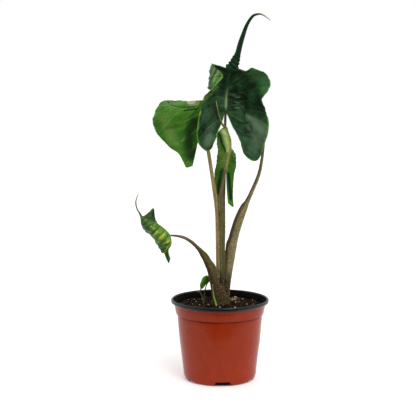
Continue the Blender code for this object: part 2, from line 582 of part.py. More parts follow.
# --- pot and soil ----------------------------------------------------------------
def pot_profile():
    """Outline of the wall: from the top of the rolled lip down the outside, then up the inside."""
    inner = POT_WALL
    return [
        (POT_RIM_R - 1.3, POT_HEIGHT), (POT_RIM_R - 0.3, POT_HEIGHT - 1.0), (POT_RIM_R, POT_HEIGHT - 2.9),
        (POT_RIM_R - 0.4, POT_HEIGHT - 5.2), (POT_RIM_R - 2.0, POT_HEIGHT - 6.2),
        (COLLAR_TOP_R + 1.2, POT_HEIGHT - 6.6),
        (COLLAR_TOP_R + 0.2, POT_HEIGHT - 8.4), (COLLAR_TOP_R - 0.6, POT_HEIGHT - 14.0),
        (COLLAR_LOW_R, STEP_Z + 2.2),
        (COLLAR_LOW_R - 1.2, STEP_Z + 0.4), (WALL_TOP_R + 0.6, STEP_Z - 0.8), (WALL_TOP_R, STEP_Z - 6.0),
        (WALL_LOW_R, 24.0), (WALL_LOW_R - 1.4, 9.0), (POT_BASE_R + 4.4, 4.6), (POT_BASE_R + 2.7, 1.4),
        (POT_BASE_R, 0.0), (0.0, 0.0),
        (0.0, POT_FLOOR), (POT_BASE_R + 0.4, POT_FLOOR), (POT_BASE_R + 2.8, 4.8),
        (WALL_LOW_R - 1.4 - inner, 9.2),
        (WALL_TOP_R - inner, STEP_Z - 6.0), (COLLAR_LOW_R - inner - 0.9, STEP_Z + 1.2),
        (COLLAR_TOP_R - 0.6 - inner, POT_HEIGHT - 14.0), (COLLAR_TOP_R - inner, POT_HEIGHT - 8.0),
        (POT_RIM_R - 3.9, POT_HEIGHT - 4.0), (POT_RIM_R - 3.6, POT_HEIGHT - 1.2),
        (POT_RIM_R - 2.5, POT_HEIGHT),
    ]


def screw_body(name, profile, steps, look, group):
    bm = bmesh.new()
    verts = [bm.verts.new(Vector((x, 0, z)) * MM) for x, z in profile]
    for a, b in zip(verts, verts[1:]):
        bm.edges.new((a, b))
    if profile[0][0] > 0:
        bm.edges.new((verts[-1], verts[0]))
    made = new_object(name, bm, look, group, smooth=False)
    screw = made.modifiers.new("Screw", "SCREW")
    screw.steps = steps
    screw.render_steps = steps
    screw.use_merge_vertices = True
    screw.merge_threshold = 0.00005
    screw.use_smooth_shade = True
    return made


def cut(target, cutter):
    made = target.modifiers.new("Cut_" + cutter.name, "BOOLEAN")
    made.operation = "DIFFERENCE"
    made.solver = "EXACT"
    made.object = cutter


def cutter_object(name, bm, group):
    made = new_object(name, bm, SOIL_BROWN, group, smooth=False)
    made.hide_render = True
    made.display_type = "WIRE"
    return made


def drain_cutters(group):
    """Wedge blocks that open the pot's bottom corner, wider at the foot."""
    made = []
    for i in range(NOTCHES):
        turn = math.radians(-90 + NOTCH_TURN + 360 / NOTCHES * i)
        bm = bmesh.new()
        bmesh.ops.create_cube(bm, size=2.0)
        for v in bm.verts:
            top = v.co.z > 0
            half = (NOTCH_TOP_W if top else NOTCH_LOW_W) / 2
            v.co = Vector((57.5 + 6.5 * v.co.x, half * v.co.y, NOTCH_HIGH if top else -3.0)) * MM
        bmesh.ops.rotate(bm, verts=bm.verts, cent=(0, 0, 0), matrix=rotation(turn))
        made.append(cutter_object("drain_cut_%d" % (i + 1), bm, group))
    return made


def rotation(turn):
    return Matrix.Rotation(turn, 3, "Z")


def soil_height(x, y):
    """Low mound towards the crown with coarse lumps."""
    r = math.hypot(x, y) / SOIL_EDGE_R
    lumps = (math.sin(0.31 * x + 1.3) * math.sin(0.27 * y + 0.4) + 0.7 * math.sin(0.53 * x - 0.41 * y + 2.0)
             + 0.5 * math.sin(0.83 * y + 0.37 * x))
    return SOIL_TOP + SOIL_MOUND * (1 - r * r) + 0.75 * lumps * (1 - 0.4 * r)


def make_soil(group):
    loose = POT_WALL + GAP + 0.25
    under = [(POT_BASE_R - 0.4, POT_FLOOR + GAP), (WALL_LOW_R - 3.6, 9.0), (WALL_LOW_R - 1.9 - GAP, 24.0),
             (WALL_TOP_R - loose, STEP_Z - 6.0), (WALL_TOP_R - loose, STEP_Z),
             (COLLAR_LOW_R - POT_WALL - 1.4, STEP_Z + 2.6), (SOIL_EDGE_R, SOIL_TOP - 2.4)]
    rings = []
    for radius, z in under:
        rings.append([Vector((radius * math.cos(a), radius * math.sin(a), z)) for a in around(SOIL_STEPS)])
    for share in (0.995, 0.91, 0.80, 0.68, 0.55, 0.42, 0.29):
        ring = []
        for a in around(SOIL_STEPS):
            x, y = SOIL_EDGE_R * share * math.cos(a), SOIL_EDGE_R * share * math.sin(a)
            ring.append(Vector((x, y, soil_height(x, y))))
        rings.append(ring)
    return new_object("soil", loft(rings), SOIL_BROWN, group)


def around(count):
    return [2 * math.pi * i / count for i in range(count)]


def hole(name, x, y, half_x, half_y, bottom, group):
    """Plain upright hole for what stands in the soil."""
    rings = [[Vector((x + half_x * math.cos(a), y + half_y * math.sin(a), z)) for a in around(24)]
             for z in (bottom, SOIL_TOP + 12)]
    return cutter_object(name, loft(rings), group)


def main():
    clear_scene()
    plant = collection("alocasia_stingray")
    cutters = collection("cutters")

    pot = screw_body("pot", pot_profile(), POT_STEPS, TERRACOTTA, plant)
    for cutter in drain_cutters(cutters):
        cut(pot, cutter)

    stalks = {
        "stalk_1": STALK_1, "stalk_a": STALK_A, "stalk_c": STALK_C, "stalk_3": STALK_3, "stalk_4": STALK_4,
    }
    planes = pressed_planes(stalks)
    make_stalk("stalk_left_leaf", STALK_1, planes["stalk_1"], STALK_TAN, plant)
    make_stalk("stalk_top_leaf", STALK_A, planes["stalk_a"], STALK_OLIVE, plant)
    make_stalk("stalk_middle_leaf", STALK_C, planes["stalk_c"], STALK_OLIVE, plant)
    make_stalk("stalk_rear_leaf", STALK_3, planes["stalk_3"], STALK_TAN, plant)
    make_stalk("stalk_young_leaf", STALK_4, planes["stalk_4"], STALK_OLIVE, plant)

    make_leaf("leaf_top", LEAF_A, LEAF_DARK, plant)
    make_leaf("leaf_left", LEAF_B, LEAF_MID, plant)
    make_leaf("leaf_middle", LEAF_C, LEAF_MID, plant)
    make_leaf("leaf_rear", LEAF_G, LEAF_MID, plant)
    make_leaf("leaf_young", LEAF_D, LEAF_YOUNG, plant)
    make_leaf("sprout_leaf", LEAF_E, LEAF_YOUNG, plant)

    make_tube("sprout_stem", [(-24, 15, 108, 1.3), (-24.5, 15, 122, 1.3), (-25, 15.5, 138, 1.1),
                              (-22, 16, 151, 0.9), (-16.6, 13.8, 159.8, 0.8)], 8, STALK_OLIVE, plant)
    make_tube("curled_sprout", [(-26, 8, 108, 2.2), (-26.5, 8, 122, 2.2), (-27, 8, 128, 1.7), (-29, 8, 135, 1.4),
                                (-32.5, 8, 141.2, 1.2), (-36, 8, 142.4, 1.0), (-38.6, 8, 140.6, 0.7)],
              8, STALK_OLIVE, plant)
    make_tube("green_spike", [(-4, -16, 108, 1.5), (-5.2, -16, 121, 1.5), (-8, -15.6, 131, 1.4),
                              (-10.3, -14.6, 140, 1.0),
                              (-12.2, -13.8, 158, 0.5)], 8, SPIKE_GREEN, plant, flat=0.6)

    soil = make_soil(plant)
    wide, deep = CROWN_HALF[0] + 0.45, CROWN_HALF[1] + 0.45
    cut(soil, hole("crown_hole", *CROWN_CENTRE, wide, deep, CROWN_BOTTOM - GAP, cutters))
    cut(soil, hole("sprout_hole", -24.2, 15, 1.9, 1.9, 107.7, cutters))
    cut(soil, hole("curl_hole", -26.3, 8, 2.9, 2.9, 107.7, cutters))
    cut(soil, hole("spike_hole", -4.8, -16, 2.7, 1.5, 107.7, cutters))


main()
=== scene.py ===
"""Looks of a potted Alocasia 'Stingray': leaves, mottled stalks, nursery pot, potting mix and sprouts.

Axes: +Z up, -Y is the display side, origin under the middle of the pot. Shapes are written in millimetres,
turned to metres by MM.
"""

import math

import bmesh
import bpy
import numpy as np
from mathutils import Matrix, Vector


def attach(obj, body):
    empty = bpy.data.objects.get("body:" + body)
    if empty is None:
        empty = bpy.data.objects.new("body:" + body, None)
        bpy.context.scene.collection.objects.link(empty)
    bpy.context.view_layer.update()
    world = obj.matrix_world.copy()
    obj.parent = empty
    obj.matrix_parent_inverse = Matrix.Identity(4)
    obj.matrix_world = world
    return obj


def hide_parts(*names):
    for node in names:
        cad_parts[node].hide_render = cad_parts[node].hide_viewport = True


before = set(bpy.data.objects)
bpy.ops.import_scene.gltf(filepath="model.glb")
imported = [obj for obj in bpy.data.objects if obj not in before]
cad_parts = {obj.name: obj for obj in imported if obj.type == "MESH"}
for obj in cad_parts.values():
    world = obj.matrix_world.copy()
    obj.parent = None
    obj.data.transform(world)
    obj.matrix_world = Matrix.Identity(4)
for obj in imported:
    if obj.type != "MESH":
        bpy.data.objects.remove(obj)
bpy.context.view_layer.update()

MM = 0.001
WELD = 0.01 * MM

# --- leaf shapes -----------------------------------------------------------------
# line: the rib, from the sinus, where the stalk joins, to the base of the tail.
# left, right: a side's main veins in turn, from the inner edge of the rear lobe to the tail: where each
# starts (0 to 1; below "fan" at the sinus), its end at the margin, and how far its middle bows out.
# tail: its centre line with its half width and half thickness.
# face: the face that is turned to the display side. rows, columns: how finely a half is meshed.
# veins: where the main veins show on a side. branches: veinlets along each.
# quilt, lumps: rise of the pillows between the veins, and of wide lumps. pleat: depth of folds.
# ruffle: height and number of the margin's waves, and how near it they keep. twist: where they begin.
# frill: height of its finer waves. blade: thickness. rib: extra thickness over the rib.
# rim_wide: width of the bright margin. vein_show, rib_show, rim_show: strength of a colour.
# pleat_shade: strength of the painted shade in the pleats' valleys and of the painted light on their crests.
# tip_from: share of the tail where its tip's colour starts and is full.
# pucker: height and reach of the knobs at the tail's base.
# strokes: marks on a side as seen from the front: a line of (x, z) points and its looks. A look is its kind,
# its reach and its strength; relief is in mm towards the viewer, and the other kinds are paints. Among the
# paints, the dark kinds are painted shade in folds and hollows; the light grey-green kinds are painted sheen,
# highlights and light on lit folds and lobes; and the bright green kind is partly the leaf's own yellow-green
# and partly painted light where the blade is lit.
# What most leaves share:
ANY_LEAF = {
    "face": "upper", "blade": 0.6, "tail_step": 0.8, "frill": 0.4, "pleat": 0, "pleat_shade": 0,
    "strokes": {},
}
TOP_LEAF = {
    **ANY_LEAF, "rows": 190, "columns": 40, "veins": [0.05, 0.17, 0.3, 0.42, 0.53, 0.64, 0.75, 0.86, 0.95],
    "branches": 8, "quilt": 1.2, "lumps": 1.2, "ruffle": (1.3, 6.5, 1.6), "twist": 0.4, "rib": 3.0,
    "fan": 0.35, "vein_show": 0.14, "rib_show": 1.0, "rim_wide": 1.8, "rim_show": 1.2,
    "tip_from": (0.78, 0.98), "pucker": (1.4, 26.0),
    "line": [(9, 5, 438), (10, 11, 459), (13, 15, 481), (19, 13, 502)],
    "left": [
        (0.0, (-13, -28, 380), (0, -3, 0)), (0.06, (-20, -30, 375.5), (1, -4, 2)),
        (0.13, (-29, -29, 380.5), (-2, -6, 3)), (0.2, (-36, -27, 391.5), (-3, -7, 4)),
        (0.28, (-37, -23, 409), (-3, -6, 4)), (0.36, (-35, -19, 425), (0, -3, 4)),
        (0.44, (-32, -17, 441), (0, 2, 3)), (0.51, (-26, -18, 458), (0, 6, 1)),
        (0.56, (-19, -21, 469), (-5, 7, 2)), (0.6, (-13, -24, 474), (-17.5, 3, 3)),
        (0.66, (-3, -26, 483), (-22.5, 0, 5)), (0.72, (3, -26, 491), (-25.5, 0, 5)),
        (0.78, (3, -25, 497), (-25.5, 0, 6)), (0.84, (-6, -18, 506), (-20.5, -1, 7)),
        (0.9, (-14.5, -9, 513.6), (-9, 2, 3.5)), (0.95, (-4, 0, 511), (-1, 3, 0)),
        (1.0, (9, 10, 506), (0, 1, 0)),
    ],
    "right": [
        (0.0, (36.5, -35, 373), (1.5, -4, 0)), (0.05, (43.5, -37, 365), (0, -4, 1)),
        (0.09, (52.5, -38, 360.5), (1, -5, 2)), (0.13, (61, -35, 364), (2, -6, 3)),
        (0.17, (68, -32, 380), (3, -6, 4)), (0.21, (72, -29, 392), (3, -5, 5)),
        (0.28, (76, -25, 405), (3, -2, 5)), (0.36, (77, -20, 425), (2, 3, 4)),
        (0.44, (72, -17, 439), (0, 9, 3)), (0.52, (67, -15, 455), (0, 13, 1)),
        (0.6, (73, -21, 468), (0, 15, 0)), (0.68, (80, -25, 484), (0, 15, 0)),
        (0.76, (72, -22, 497), (1, 13, 1)), (0.84, (60, -17, 504), (2, 10, 2)),
        (0.89, (50, -12, 507), (1, 7, 1)), (0.94, (43, -3, 502), (0, 4, 0)), (1.0, (29, 8, 506), (0, 1, 0)),
    ],
    "tail": [
        (19, 12, 506, 10.2, 2.4), (22.7, 11.5, 514, 8.0, 2.7), (25.5, 11, 521, 6.8, 2.8),
        (28.3, 10, 529, 4.8, 2.9), (32.3, 9, 545, 4.2, 2.6), (35.8, 8, 556, 3.7, 2.3),
        (42.8, 7, 575, 2.8, 2.0), (52, 5, 588.6, 2.2, 1.6), (60, 4, 591.6, 1.6, 1.3),
        (67, 3, 590.8, 1.1, 0.9), (80, 1, 582, 0.5, 0.5),
    ],
    "strokes": {
        "left": [
            # The flap's fold strokes are painted shade and painted highlights on its folds.
            ([(-5, 505), (-11, 495), (-16, 484)], ("fold_shade", 2.2, 0.95)),
            ([(2, 499), (-8, 483)], ("fold_shade", 1.6, 0.8)),
            ([(-12, 508), (-16, 497)], ("fold_shade", 1.5, 0.7)),
            ([(-2, 503), (-12, 488)], ("fold_highlight", 1.3, 0.6)),
            ([(-9, 508), (-14, 497)], ("fold_highlight", 1.2, 0.55)),
            ([(-17, 479), (-16, 473)], ("fold_shade", 4.0, 0.6)),
            ([(-7, 476), (-22, 460), (-30, 453)], ("fresh_and_lit", 3.0, 0.4)),
            ([(10, 504), (7, 488), (3, 468)], ("shade", 5.5, 0.85)),
            ([(-10, 446), (-5, 429), (-3, 414)], ("shade", 4.0, 0.55)),
            ([(-17, 396), (-21, 388)], ("pale", 6.5, 0.52)),
            ([(-15, 404), (-19, 394), (-24, 386)], ("pale", 1.6, 0.4)),
            ([(-27, 418), (-25, 404)], ("shade", 5.0, 0.45)),
            ([(-20, 396), (-24, 384)], ("relief", 7.0, 1.5)),
            ([(-13, 411)], ("pale", 1.0, 0.6)),
            ([(-22, 406)], ("pale", 1.0, 0.5)),
            ([(-2, 451)], ("pale", 1.0, 0.5)),
            ([(4, 458)], ("pale", 1.0, 0.5)),
            ([(-33.5, 437), (-33.5, 433.5)], ("spot", 2.2, 0.9)),
            ([(-33, 441), (-35, 424), (-35, 410)], ("fresh_and_lit", 1.6, 0.5)),
        ],
        "right": [
            ([(50, 478), (41, 471), (36, 453), (41, 441), (49, 435)], ("shade", 5.0, 0.62)),
            ([(54, 481), (41, 471), (36, 453), (41, 441), (49, 435)], ("relief", 7.0, -4.0)),
            ([(66, 454), (62, 442)], ("shade", 12.0, 0.62)),
            ([(26, 421), (36, 419), (44, 420)], ("shade", 1.3, 0.8), ("relief", 1.8, -1.3)),
            ([(49, 416), (49, 408), (45, 405), (39, 404)], ("shade", 1.3, 0.8), ("relief", 1.8, -1.5)),
            ([(32, 402), (46, 398)], ("shade", 1.2, 0.7), ("relief", 1.8, -1.2)),
            ([(39, 435), (39, 423)], ("shade", 1.2, 0.8)),
            ([(45, 430), (49, 425)], ("pale", 5.0, 0.45)),
            ([(45, 430), (50, 424)], ("relief", 5.0, 2.2)),
            ([(56, 416), (66, 408), (58, 388)], ("pale", 11.0, 0.42)),
            ([(23, 459), (31, 459)], ("pale", 1.0, 0.6), ("relief", 1.8, 1.6)),
            ([(23, 451), (31, 451)], ("pale", 1.0, 0.6), ("relief", 1.8, 1.6)),
            ([(22, 455), (33, 455)], ("shade", 1.4, 0.6)),
            ([(22, 447), (33, 446)], ("shade", 1.4, 0.6)),
            ([(23, 442), (30, 442)], ("pale", 1.0, 0.6), ("relief", 1.8, 1.6)),
            ([(36, 498), (49, 500), (56, 507)], ("pale", 2.4, 0.4), ("relief", 3.0, 2.0)),
            ([(36, 497), (22, 485)], ("pale", 1.4, 0.22)),
            # Painted light: the upper right lobe is lighter where it is lit, with a soft sheen.
            ([(56, 497), (66, 488), (74, 474)], ("lit_sheen", 12.0, 0.9)),
            ([(16, 506), (17, 491)], ("shade", 8.0, 0.85)),
            ([(25, 478), (25, 465)], ("shade", 6.0, 0.6)),
            ([(18, 464), (19, 446)], ("shade", 7.5, 0.72)),
        ],
    },
}
LEFT_LEAF = {
    **ANY_LEAF, "face": "under", "rows": 200, "columns": 56,
    "veins": [0.05, 0.16, 0.28, 0.4, 0.52, 0.64, 0.76, 0.88], "branches": 8, "quilt": 0.6, "lumps": 0.7,
    "ruffle": (1.0, 5.0, 1.6), "twist": 1.1, "rib": 2.6, "fan": 0.3, "vein_show": 0.22, "rib_show": 0.8,
    "rim_wide": 1.2, "rim_show": 0.7, "tail_step": 0.9, "tip_from": (0.8, 1.0), "pucker": (0.9, 10.0),
    "line": [(-28.5, 6, 454), (-42, 8, 453), (-58, 15, 451.5), (-74, 24, 451), (-87, 34, 451)],
    "left": [
        (0.0, (-44, -4, 350), (3, 3, 0)), (0.05, (-54, -5, 347.5), (3, 2, 1)),
        (0.09, (-58.5, -5, 355), (2, 2, 2)), (0.17, (-67, -4, 370), (1, 3, 2)),
        (0.25, (-80, -4, 379), (-1, 0, 2)), (0.36, (-97, -2, 397), (-3, -6, 2)),
        (0.46, (-104, 0, 406), (-4, -9, 2)), (0.56, (-108, 4, 423), (-4, -11, 1)),
        (0.68, (-105, 8, 436), (-2, -11, 0)), (0.78, (-100, 13, 444), (-1, -8, 0)),
        (0.9, (-94, 21, 450), (0, -4, 0)), (1.0, (-89, 29, 453), (0, -1, 0)),
    ],
    "right": [
        (0.0, (-41, 54, 372), (1, 4, 6)), (0.07, (-46, 62, 368), (0, 4, 6)),
        (0.16, (-58, 72, 380), (0, 4, 7)), (0.25, (-70, 79, 392), (0, 4, 8)),
        (0.36, (-82, 82, 404), (0, 4, 8)), (0.46, (-92, 80, 415), (0, 3, 9)),
        (0.56, (-99, 74, 426), (0, 2, 10)), (0.68, (-102, 66, 436), (0, 1, 8)),
        (0.78, (-102, 57, 443), (0, 0, 6)), (0.9, (-98, 47, 448), (0, 0, 3)),
        (1.0, (-90, 41, 451), (0, 0, 1)),
    ],
    "tail": [
        (-91, 37, 451, 6.5, 1.8), (-96, 44, 448, 3.6, 2.1), (-99, 53, 440, 2.8, 2.0),
        (-100, 61, 426, 2.2, 1.7), (-97, 66, 410, 1.6, 1.3), (-92, 68, 394, 1.0, 0.9),
        (-88, 68, 384, 0.5, 0.5),
    ],
    "strokes": {
        "left": [
            ([(-40, 420), (-49, 404), (-51, 386), (-46, 366)], ("shade", 9.5, 0.92)),
            ([(-45, 418), (-51, 400), (-47, 380)], ("relief", 5.0, -3.0)),
            ([(-37, 432), (-57, 421)], ("fresh_and_lit", 1.1, 0.3)),
            ([(-37, 408), (-50, 397), (-62, 390)], ("fresh_and_lit", 1.1, 0.38)),
            ([(-37, 385), (-52, 370)], ("fresh_and_lit", 1.1, 0.3)),
            ([(-85, 410), (-66, 414)], ("shade", 2.6, 0.4), ("relief", 4.0, -1.5)),
            ([(-85, 451), (-72, 446), (-58, 444), (-41, 445)], ("shade", 0.9, 0.9), ("relief", 1.6, -1.6)),
            ([(-82, 455), (-68, 451), (-56, 449)], ("relief", 2.6, 1.4)),
            ([(-57, 438), (-37, 441)], ("shade", 1.1, 0.95), ("relief", 1.6, -1.6)),
            ([(-48, 447), (-38, 449)], ("cream", 1.4, 0.4)),
            ([(-51, 451), (-45, 450.5), (-41, 451.5)], ("cream", 1.8, 0.75)),
            ([(-34, 454), (-36, 448)], ("tan", 1.8, 0.65)),
            ([(-106, 432)], ("spot", 2.0, 0.6)),
            ([(-103, 407)], ("pale", 2.0, 0.5)),
            ([(-75, 389), (-90, 425)], ("fresh_and_lit", 9.0, 0.12)),
        ],
    },
}
MIDDLE_LEAF = {
    **ANY_LEAF, "face": "under", "rows": 150, "columns": 26,
    "veins": [0.06, 0.18, 0.32, 0.46, 0.6, 0.74, 0.88], "branches": 6, "quilt": 0.5, "lumps": 0.4,
    "ruffle": (0.7, 5.5, 1.6), "twist": 0.2, "rib": 2.2, "fan": 0.35, "vein_show": 0.25, "rib_show": 0.9,
    "rim_wide": 0.9, "rim_show": 0.5, "tip_from": (0.6, 1.0), "pucker": (0.5, 5.0),
    "line": [(10, 0, 345), (13, -3, 364), (17, -5, 378), (17, -6, 391), (14, -7, 401), (10, -7, 412)],
    "left": [
        (0.0, (0, 6, 296), (-2, 1, 0)), (0.08, (-4, 8, 293), (-2, 1, 0)), (0.18, (-8, 9, 311), (-2, 1, 0)),
        (0.28, (-9, 9, 330), (-2, 1, 0)), (0.38, (-8, 9, 343), (-1, 0, 0)), (0.5, (-5, 8, 359), (0, -2, 0)),
        (0.62, (-4, 8, 375), (0, -5, 0)), (0.74, (-5, 6, 388), (-1, -6, 1)),
        (0.86, (-5, 1, 401), (-1, -5, 1)), (0.94, (0, -5, 408), (0, -2, 0)), (1.0, (6, -7, 413), (0, 0, 0)),
    ],
    "right": [
        (0.0, (12.8, -4, 289.4), (-1, 0, 0)), (0.08, (21.4, -5, 283.4), (-1, 0, 0)),
        (0.18, (21, -4, 297), (0, 0, 0)), (0.28, (21, -2, 313), (1, 0, 0)), (0.38, (23, 1, 335), (1, 0, 0)),
        (0.5, (26, 3, 352), (1, -1, 0)), (0.6, (26, 5, 364), (1, -1, 0)), (0.68, (22, 10, 373), (0, 0, 0)),
        (0.76, (18, 14, 381), (0, 0, 0)), (0.84, (15.5, 15, 390), (0, 0, 0)),
        (0.92, (13.5, 9, 402), (0, 0, 0)), (1.0, (12, -4, 411), (0, 0, 0)),
    ],
    "tail": [
        (6.5, -8, 414, 2.4, 1.4), (3, -9, 418, 1.9, 1.4), (0.2, -10, 424.6, 1.4, 1.2),
        (-2, -11, 433, 1.2, 1.0), (-4.6, -12, 444, 0.9, 0.8), (-6.4, -12, 455, 0.5, 0.5),
    ],
    "strokes": {
        "left": [
            # The bright band beside the rib is the underside's own light green, made brighter with painted
            # light.
            ([(5, 408), (10, 393), (13, 383), (13, 375)], ("fresh_and_lit", 4.6, 0.95)),
            ([(12, 410), (16, 401), (18, 391), (18, 379), (13, 364), (10, 347), (9.2, 340)],
             ("tan", 2.2, 0.85)),
            ([(5, 366), (6, 354)], ("tan", 8.0, 0.2)),
            ([(-3, 403), (1, 389), (8, 373)], ("shade", 2.2, 1.0)),
            ([(-3, 400), (2, 387), (6, 376)], ("relief", 3.0, -2.5)),
            ([(0, 362)], ("shade", 3.0, 0.45)),
            ([(4, 343), (0.5, 332), (-1.5, 320), (-3.5, 305)], ("shade", 3.0, 0.9)),
        ],
        "right": [
            ([(18, 391), (18, 379), (13, 364), (10, 347), (9.2, 340)], ("tan", 2.2, 0.85)),
            ([(18, 370), (22, 356)], ("shade", 1.0, 0.6)),
            ([(13.5, 337), (15, 321), (16.5, 307), (18, 297)], ("shade", 3.2, 1.0)),
        ],
    },
}
REAR_LEAF = {
    **ANY_LEAF, "rows": 120, "columns": 26, "veins": [0.06, 0.2, 0.36, 0.52, 0.68, 0.84], "branches": 6,
    "quilt": 0.9, "lumps": 0.6, "ruffle": (1.2, 4.5, 1.6), "twist": 1.9, "rib": 2.4, "fan": 0.3,
    "vein_show": 0.3, "rib_show": 0.8, "rim_wide": 1.0, "rim_show": 0.8, "tip_from": (0.7, 1.0),
    "pucker": (0.7, 5.0),
    "line": [(70, 24, 414), (65, 40, 424), (58, 60, 424), (51, 78, 414)],
    "left": [
        (0.0, (57, 18, 378), (1, 2, 4)), (0.08, (52, 20, 379), (0, 2, 6)), (0.2, (44, 28, 392), (0, 0, 8)),
        (0.35, (36, 38, 403), (0, 0, 9)), (0.5, (31, 50, 408), (0, 0, 9)), (0.65, (29, 63, 408), (0, 0, 8)),
        (0.8, (33, 76, 405), (0, 0, 6)), (0.92, (41, 83, 405), (0, 0, 3)), (1.0, (46, 82, 410), (0, 0, 1)),
    ],
    "right": [
        (0.0, (73, 31, 394), (2, 1, 2)), (0.08, (75, 35, 396), (2, 1, 3)), (0.2, (77, 43, 401), (2, 0, 4)),
        (0.35, (77, 53, 404), (2, 0, 5)), (0.5, (76, 66, 405), (1, 0, 5)), (0.65, (73, 78, 402), (1, 0, 5)),
        (0.8, (66, 87, 400), (0, 0, 4)), (0.92, (57, 88, 404), (0, 0, 2)), (1.0, (52, 84, 410), (0, 0, 1)),
    ],
    "tail": [
        (49, 83, 411, 3.8, 1.6), (47, 89, 406, 2.6, 1.7), (46, 95, 398, 1.8, 1.4), (46, 97, 388, 1.1, 1.0),
        (47, 97, 380, 0.5, 0.5),
    ],
}
YOUNG_LEAF = {
    **ANY_LEAF, "rows": 220, "columns": 22, "veins": [0.09, 0.2, 0.32, 0.44, 0.56, 0.68, 0.8, 0.91],
    "branches": 5, "quilt": 0.4, "lumps": 0.6, "pleat": 2.8, "pleat_shade": 0.95, "ruffle": (0.5, 8.5, 0.5),
    "frill": 0.15, "twist": 0.0, "rib": 1.6, "fan": 0.3, "vein_show": 0.3, "rib_show": 0.3, "rim_wide": 0.7,
    "rim_show": 0.6, "tip_from": (0.6, 1.0), "pucker": (0.2, 0.0),
    "line": [(-80, -18, 239), (-89, -19, 249), (-102, -20, 259), (-114, -20, 266), (-124, -19, 268)],
    "left": [
        (0.0, (-86, -21, 217), (4, -3, 0)), (0.08, (-88, -22, 212), (5, -5, 0)),
        (0.2, (-93, -22, 211), (6, -8, 1)), (0.33, (-98, -22, 219), (4, -11, 1)),
        (0.46, (-103, -21, 227), (2, -12, 0)), (0.58, (-110, -21, 238), (0, -13, 0)),
        (0.7, (-119, -21, 245), (-2, -12, 0)), (0.82, (-124, -20, 251), (-2, -9, 0)),
        (0.92, (-127, -20, 258), (-1, -5, 0)), (1.0, (-127, -20, 265), (0, -1, 0)),
    ],
    "right": [
        (0.0, (-80, -12, 200), (-4, 3, 0)), (0.07, (-83, -13, 193), (-2, 3, 0)),
        (0.2, (-90, -12, 208), (0, 4, 0)), (0.35, (-95, -8, 226), (0, 5, 0)),
        (0.5, (-100, -7, 243), (0, 5, 0)), (0.63, (-104, -10, 258), (0, 3, 0)),
        (0.72, (-105, -13, 269), (0, 2, 0)), (0.79, (-107, -15, 283), (0, 1, 0)),
        (0.86, (-113, -17, 278), (0, 0, 0)), (0.93, (-118, -18, 274), (0, 0, 0)),
        (1.0, (-122, -19, 271), (0, 0, 0)),
    ],
    "tail": [
        (-126, -19, 269, 2.2, 1.3), (-129, -19, 275, 1.5, 1.2), (-133, -19, 282, 1.1, 1.0),
        (-135, -19, 290, 1.1, 0.9), (-134.5, -19, 297, 0.9, 0.8), (-131, -19, 306, 0.7, 0.6),
    ],
    "strokes": {
        "left": [
            ([(-97, 243), (-87, 232)], ("fresh_and_lit", 6.0, 0.45)),
            ([(-101, 247), (-105, 242)], ("spot", 1.3, 0.8)),
            ([(-90, 242), (-96, 237)], ("spot", 1.5, 0.9)),
            ([(-81, 232), (-84, 230)], ("spot", 1.7, 1.0)),
            ([(-85, 222)], ("spot", 1.6, 0.8)),
            ([(-89, 212)], ("spot", 1.2, 0.8)),
            ([(-110, 255)], ("spot", 1.2, 0.8)),
            ([(-106, 252)], ("spot", 1.2, 0.8)),
            ([(-96, 224), (-85, 227)], ("shade", 1.4, 0.9)),
            ([(-96, 233), (-87, 235)], ("shade", 1.2, 0.7)),
            ([(-123, 259), (-116, 250), (-108, 241)], ("shade", 8.0, 0.4)),
            ([(-125, 252), (-121, 245), (-112, 238)], ("shade", 3.0, 0.75)),
            ([(-117, 268), (-110, 264)], ("shade", 4.0, 0.6)),
            ([(-122, 262), (-116, 257)], ("shade", 2.4, 0.6)),
            ([(-109, 246), (-107, 243)], ("shade", 1.3, 0.7)),
        ],
        "right": [
            ([(-99, 247), (-87, 237)], ("fresh_and_lit", 7.0, 0.8)),
            ([(-118, 265), (-109, 262), (-106, 276)], ("shade", 6.0, 0.95)),
            ([(-113, 270)], ("shade", 10.0, 0.65)),
            ([(-107, 260), (-97, 252)], ("shade", 2.8, 0.9)),
            ([(-87, 211), (-85, 203), (-83, 195)], ("shade", 1.8, 0.85)),
        ],
    },
}
SPROUT_LEAF = {
    **ANY_LEAF, "rows": 60, "columns": 14, "veins": [0.2, 0.45, 0.7], "branches": 4, "quilt": 0.25,
    "lumps": 0.2, "ruffle": (0.3, 3.0, 1.6), "twist": 0.7, "blade": 0.5, "rib": 0.9, "fan": 0.25,
    "vein_show": 0.3, "rib_show": 0.4, "rim_wide": 0.4, "rim_show": 0.5, "tail_step": 0.5,
    "tip_from": (0.2, 1.0), "pucker": (0.0, 0.0),
    "line": [(-14.4, 13, 165), (-21, 12, 167), (-27.5, 11, 158.5), (-31, 11, 149)],
    "left": [
        (0.0, (-14.4, 9, 160), (0, -1, 0)), (0.25, (-21, 7, 156), (-1, -1, 1)),
        (0.55, (-25.5, 7, 150.5), (-1, -1, 1)), (0.8, (-28.5, 9, 146.5), (0, -1, 1)),
        (1.0, (-30.5, 11, 146), (0, 0, 0)),
    ],
    "right": [
        (0.0, (-15.2, 19, 162), (0, 1, 2)), (0.25, (-22.6, 20, 162), (0, 1, 3)),
        (0.55, (-29.5, 18, 157), (-1, 1, 3)), (0.8, (-32.5, 15, 151), (-1, 1, 1)),
        (1.0, (-31.8, 12, 147), (0, 0, 0)),
    ],
    "tail": [(-31.2, 11, 145.8, 0.9, 0.6), (-32.8, 11, 143.4, 0.6, 0.5), (-35.5, 11, 143.2, 0.4, 0.4)],
}

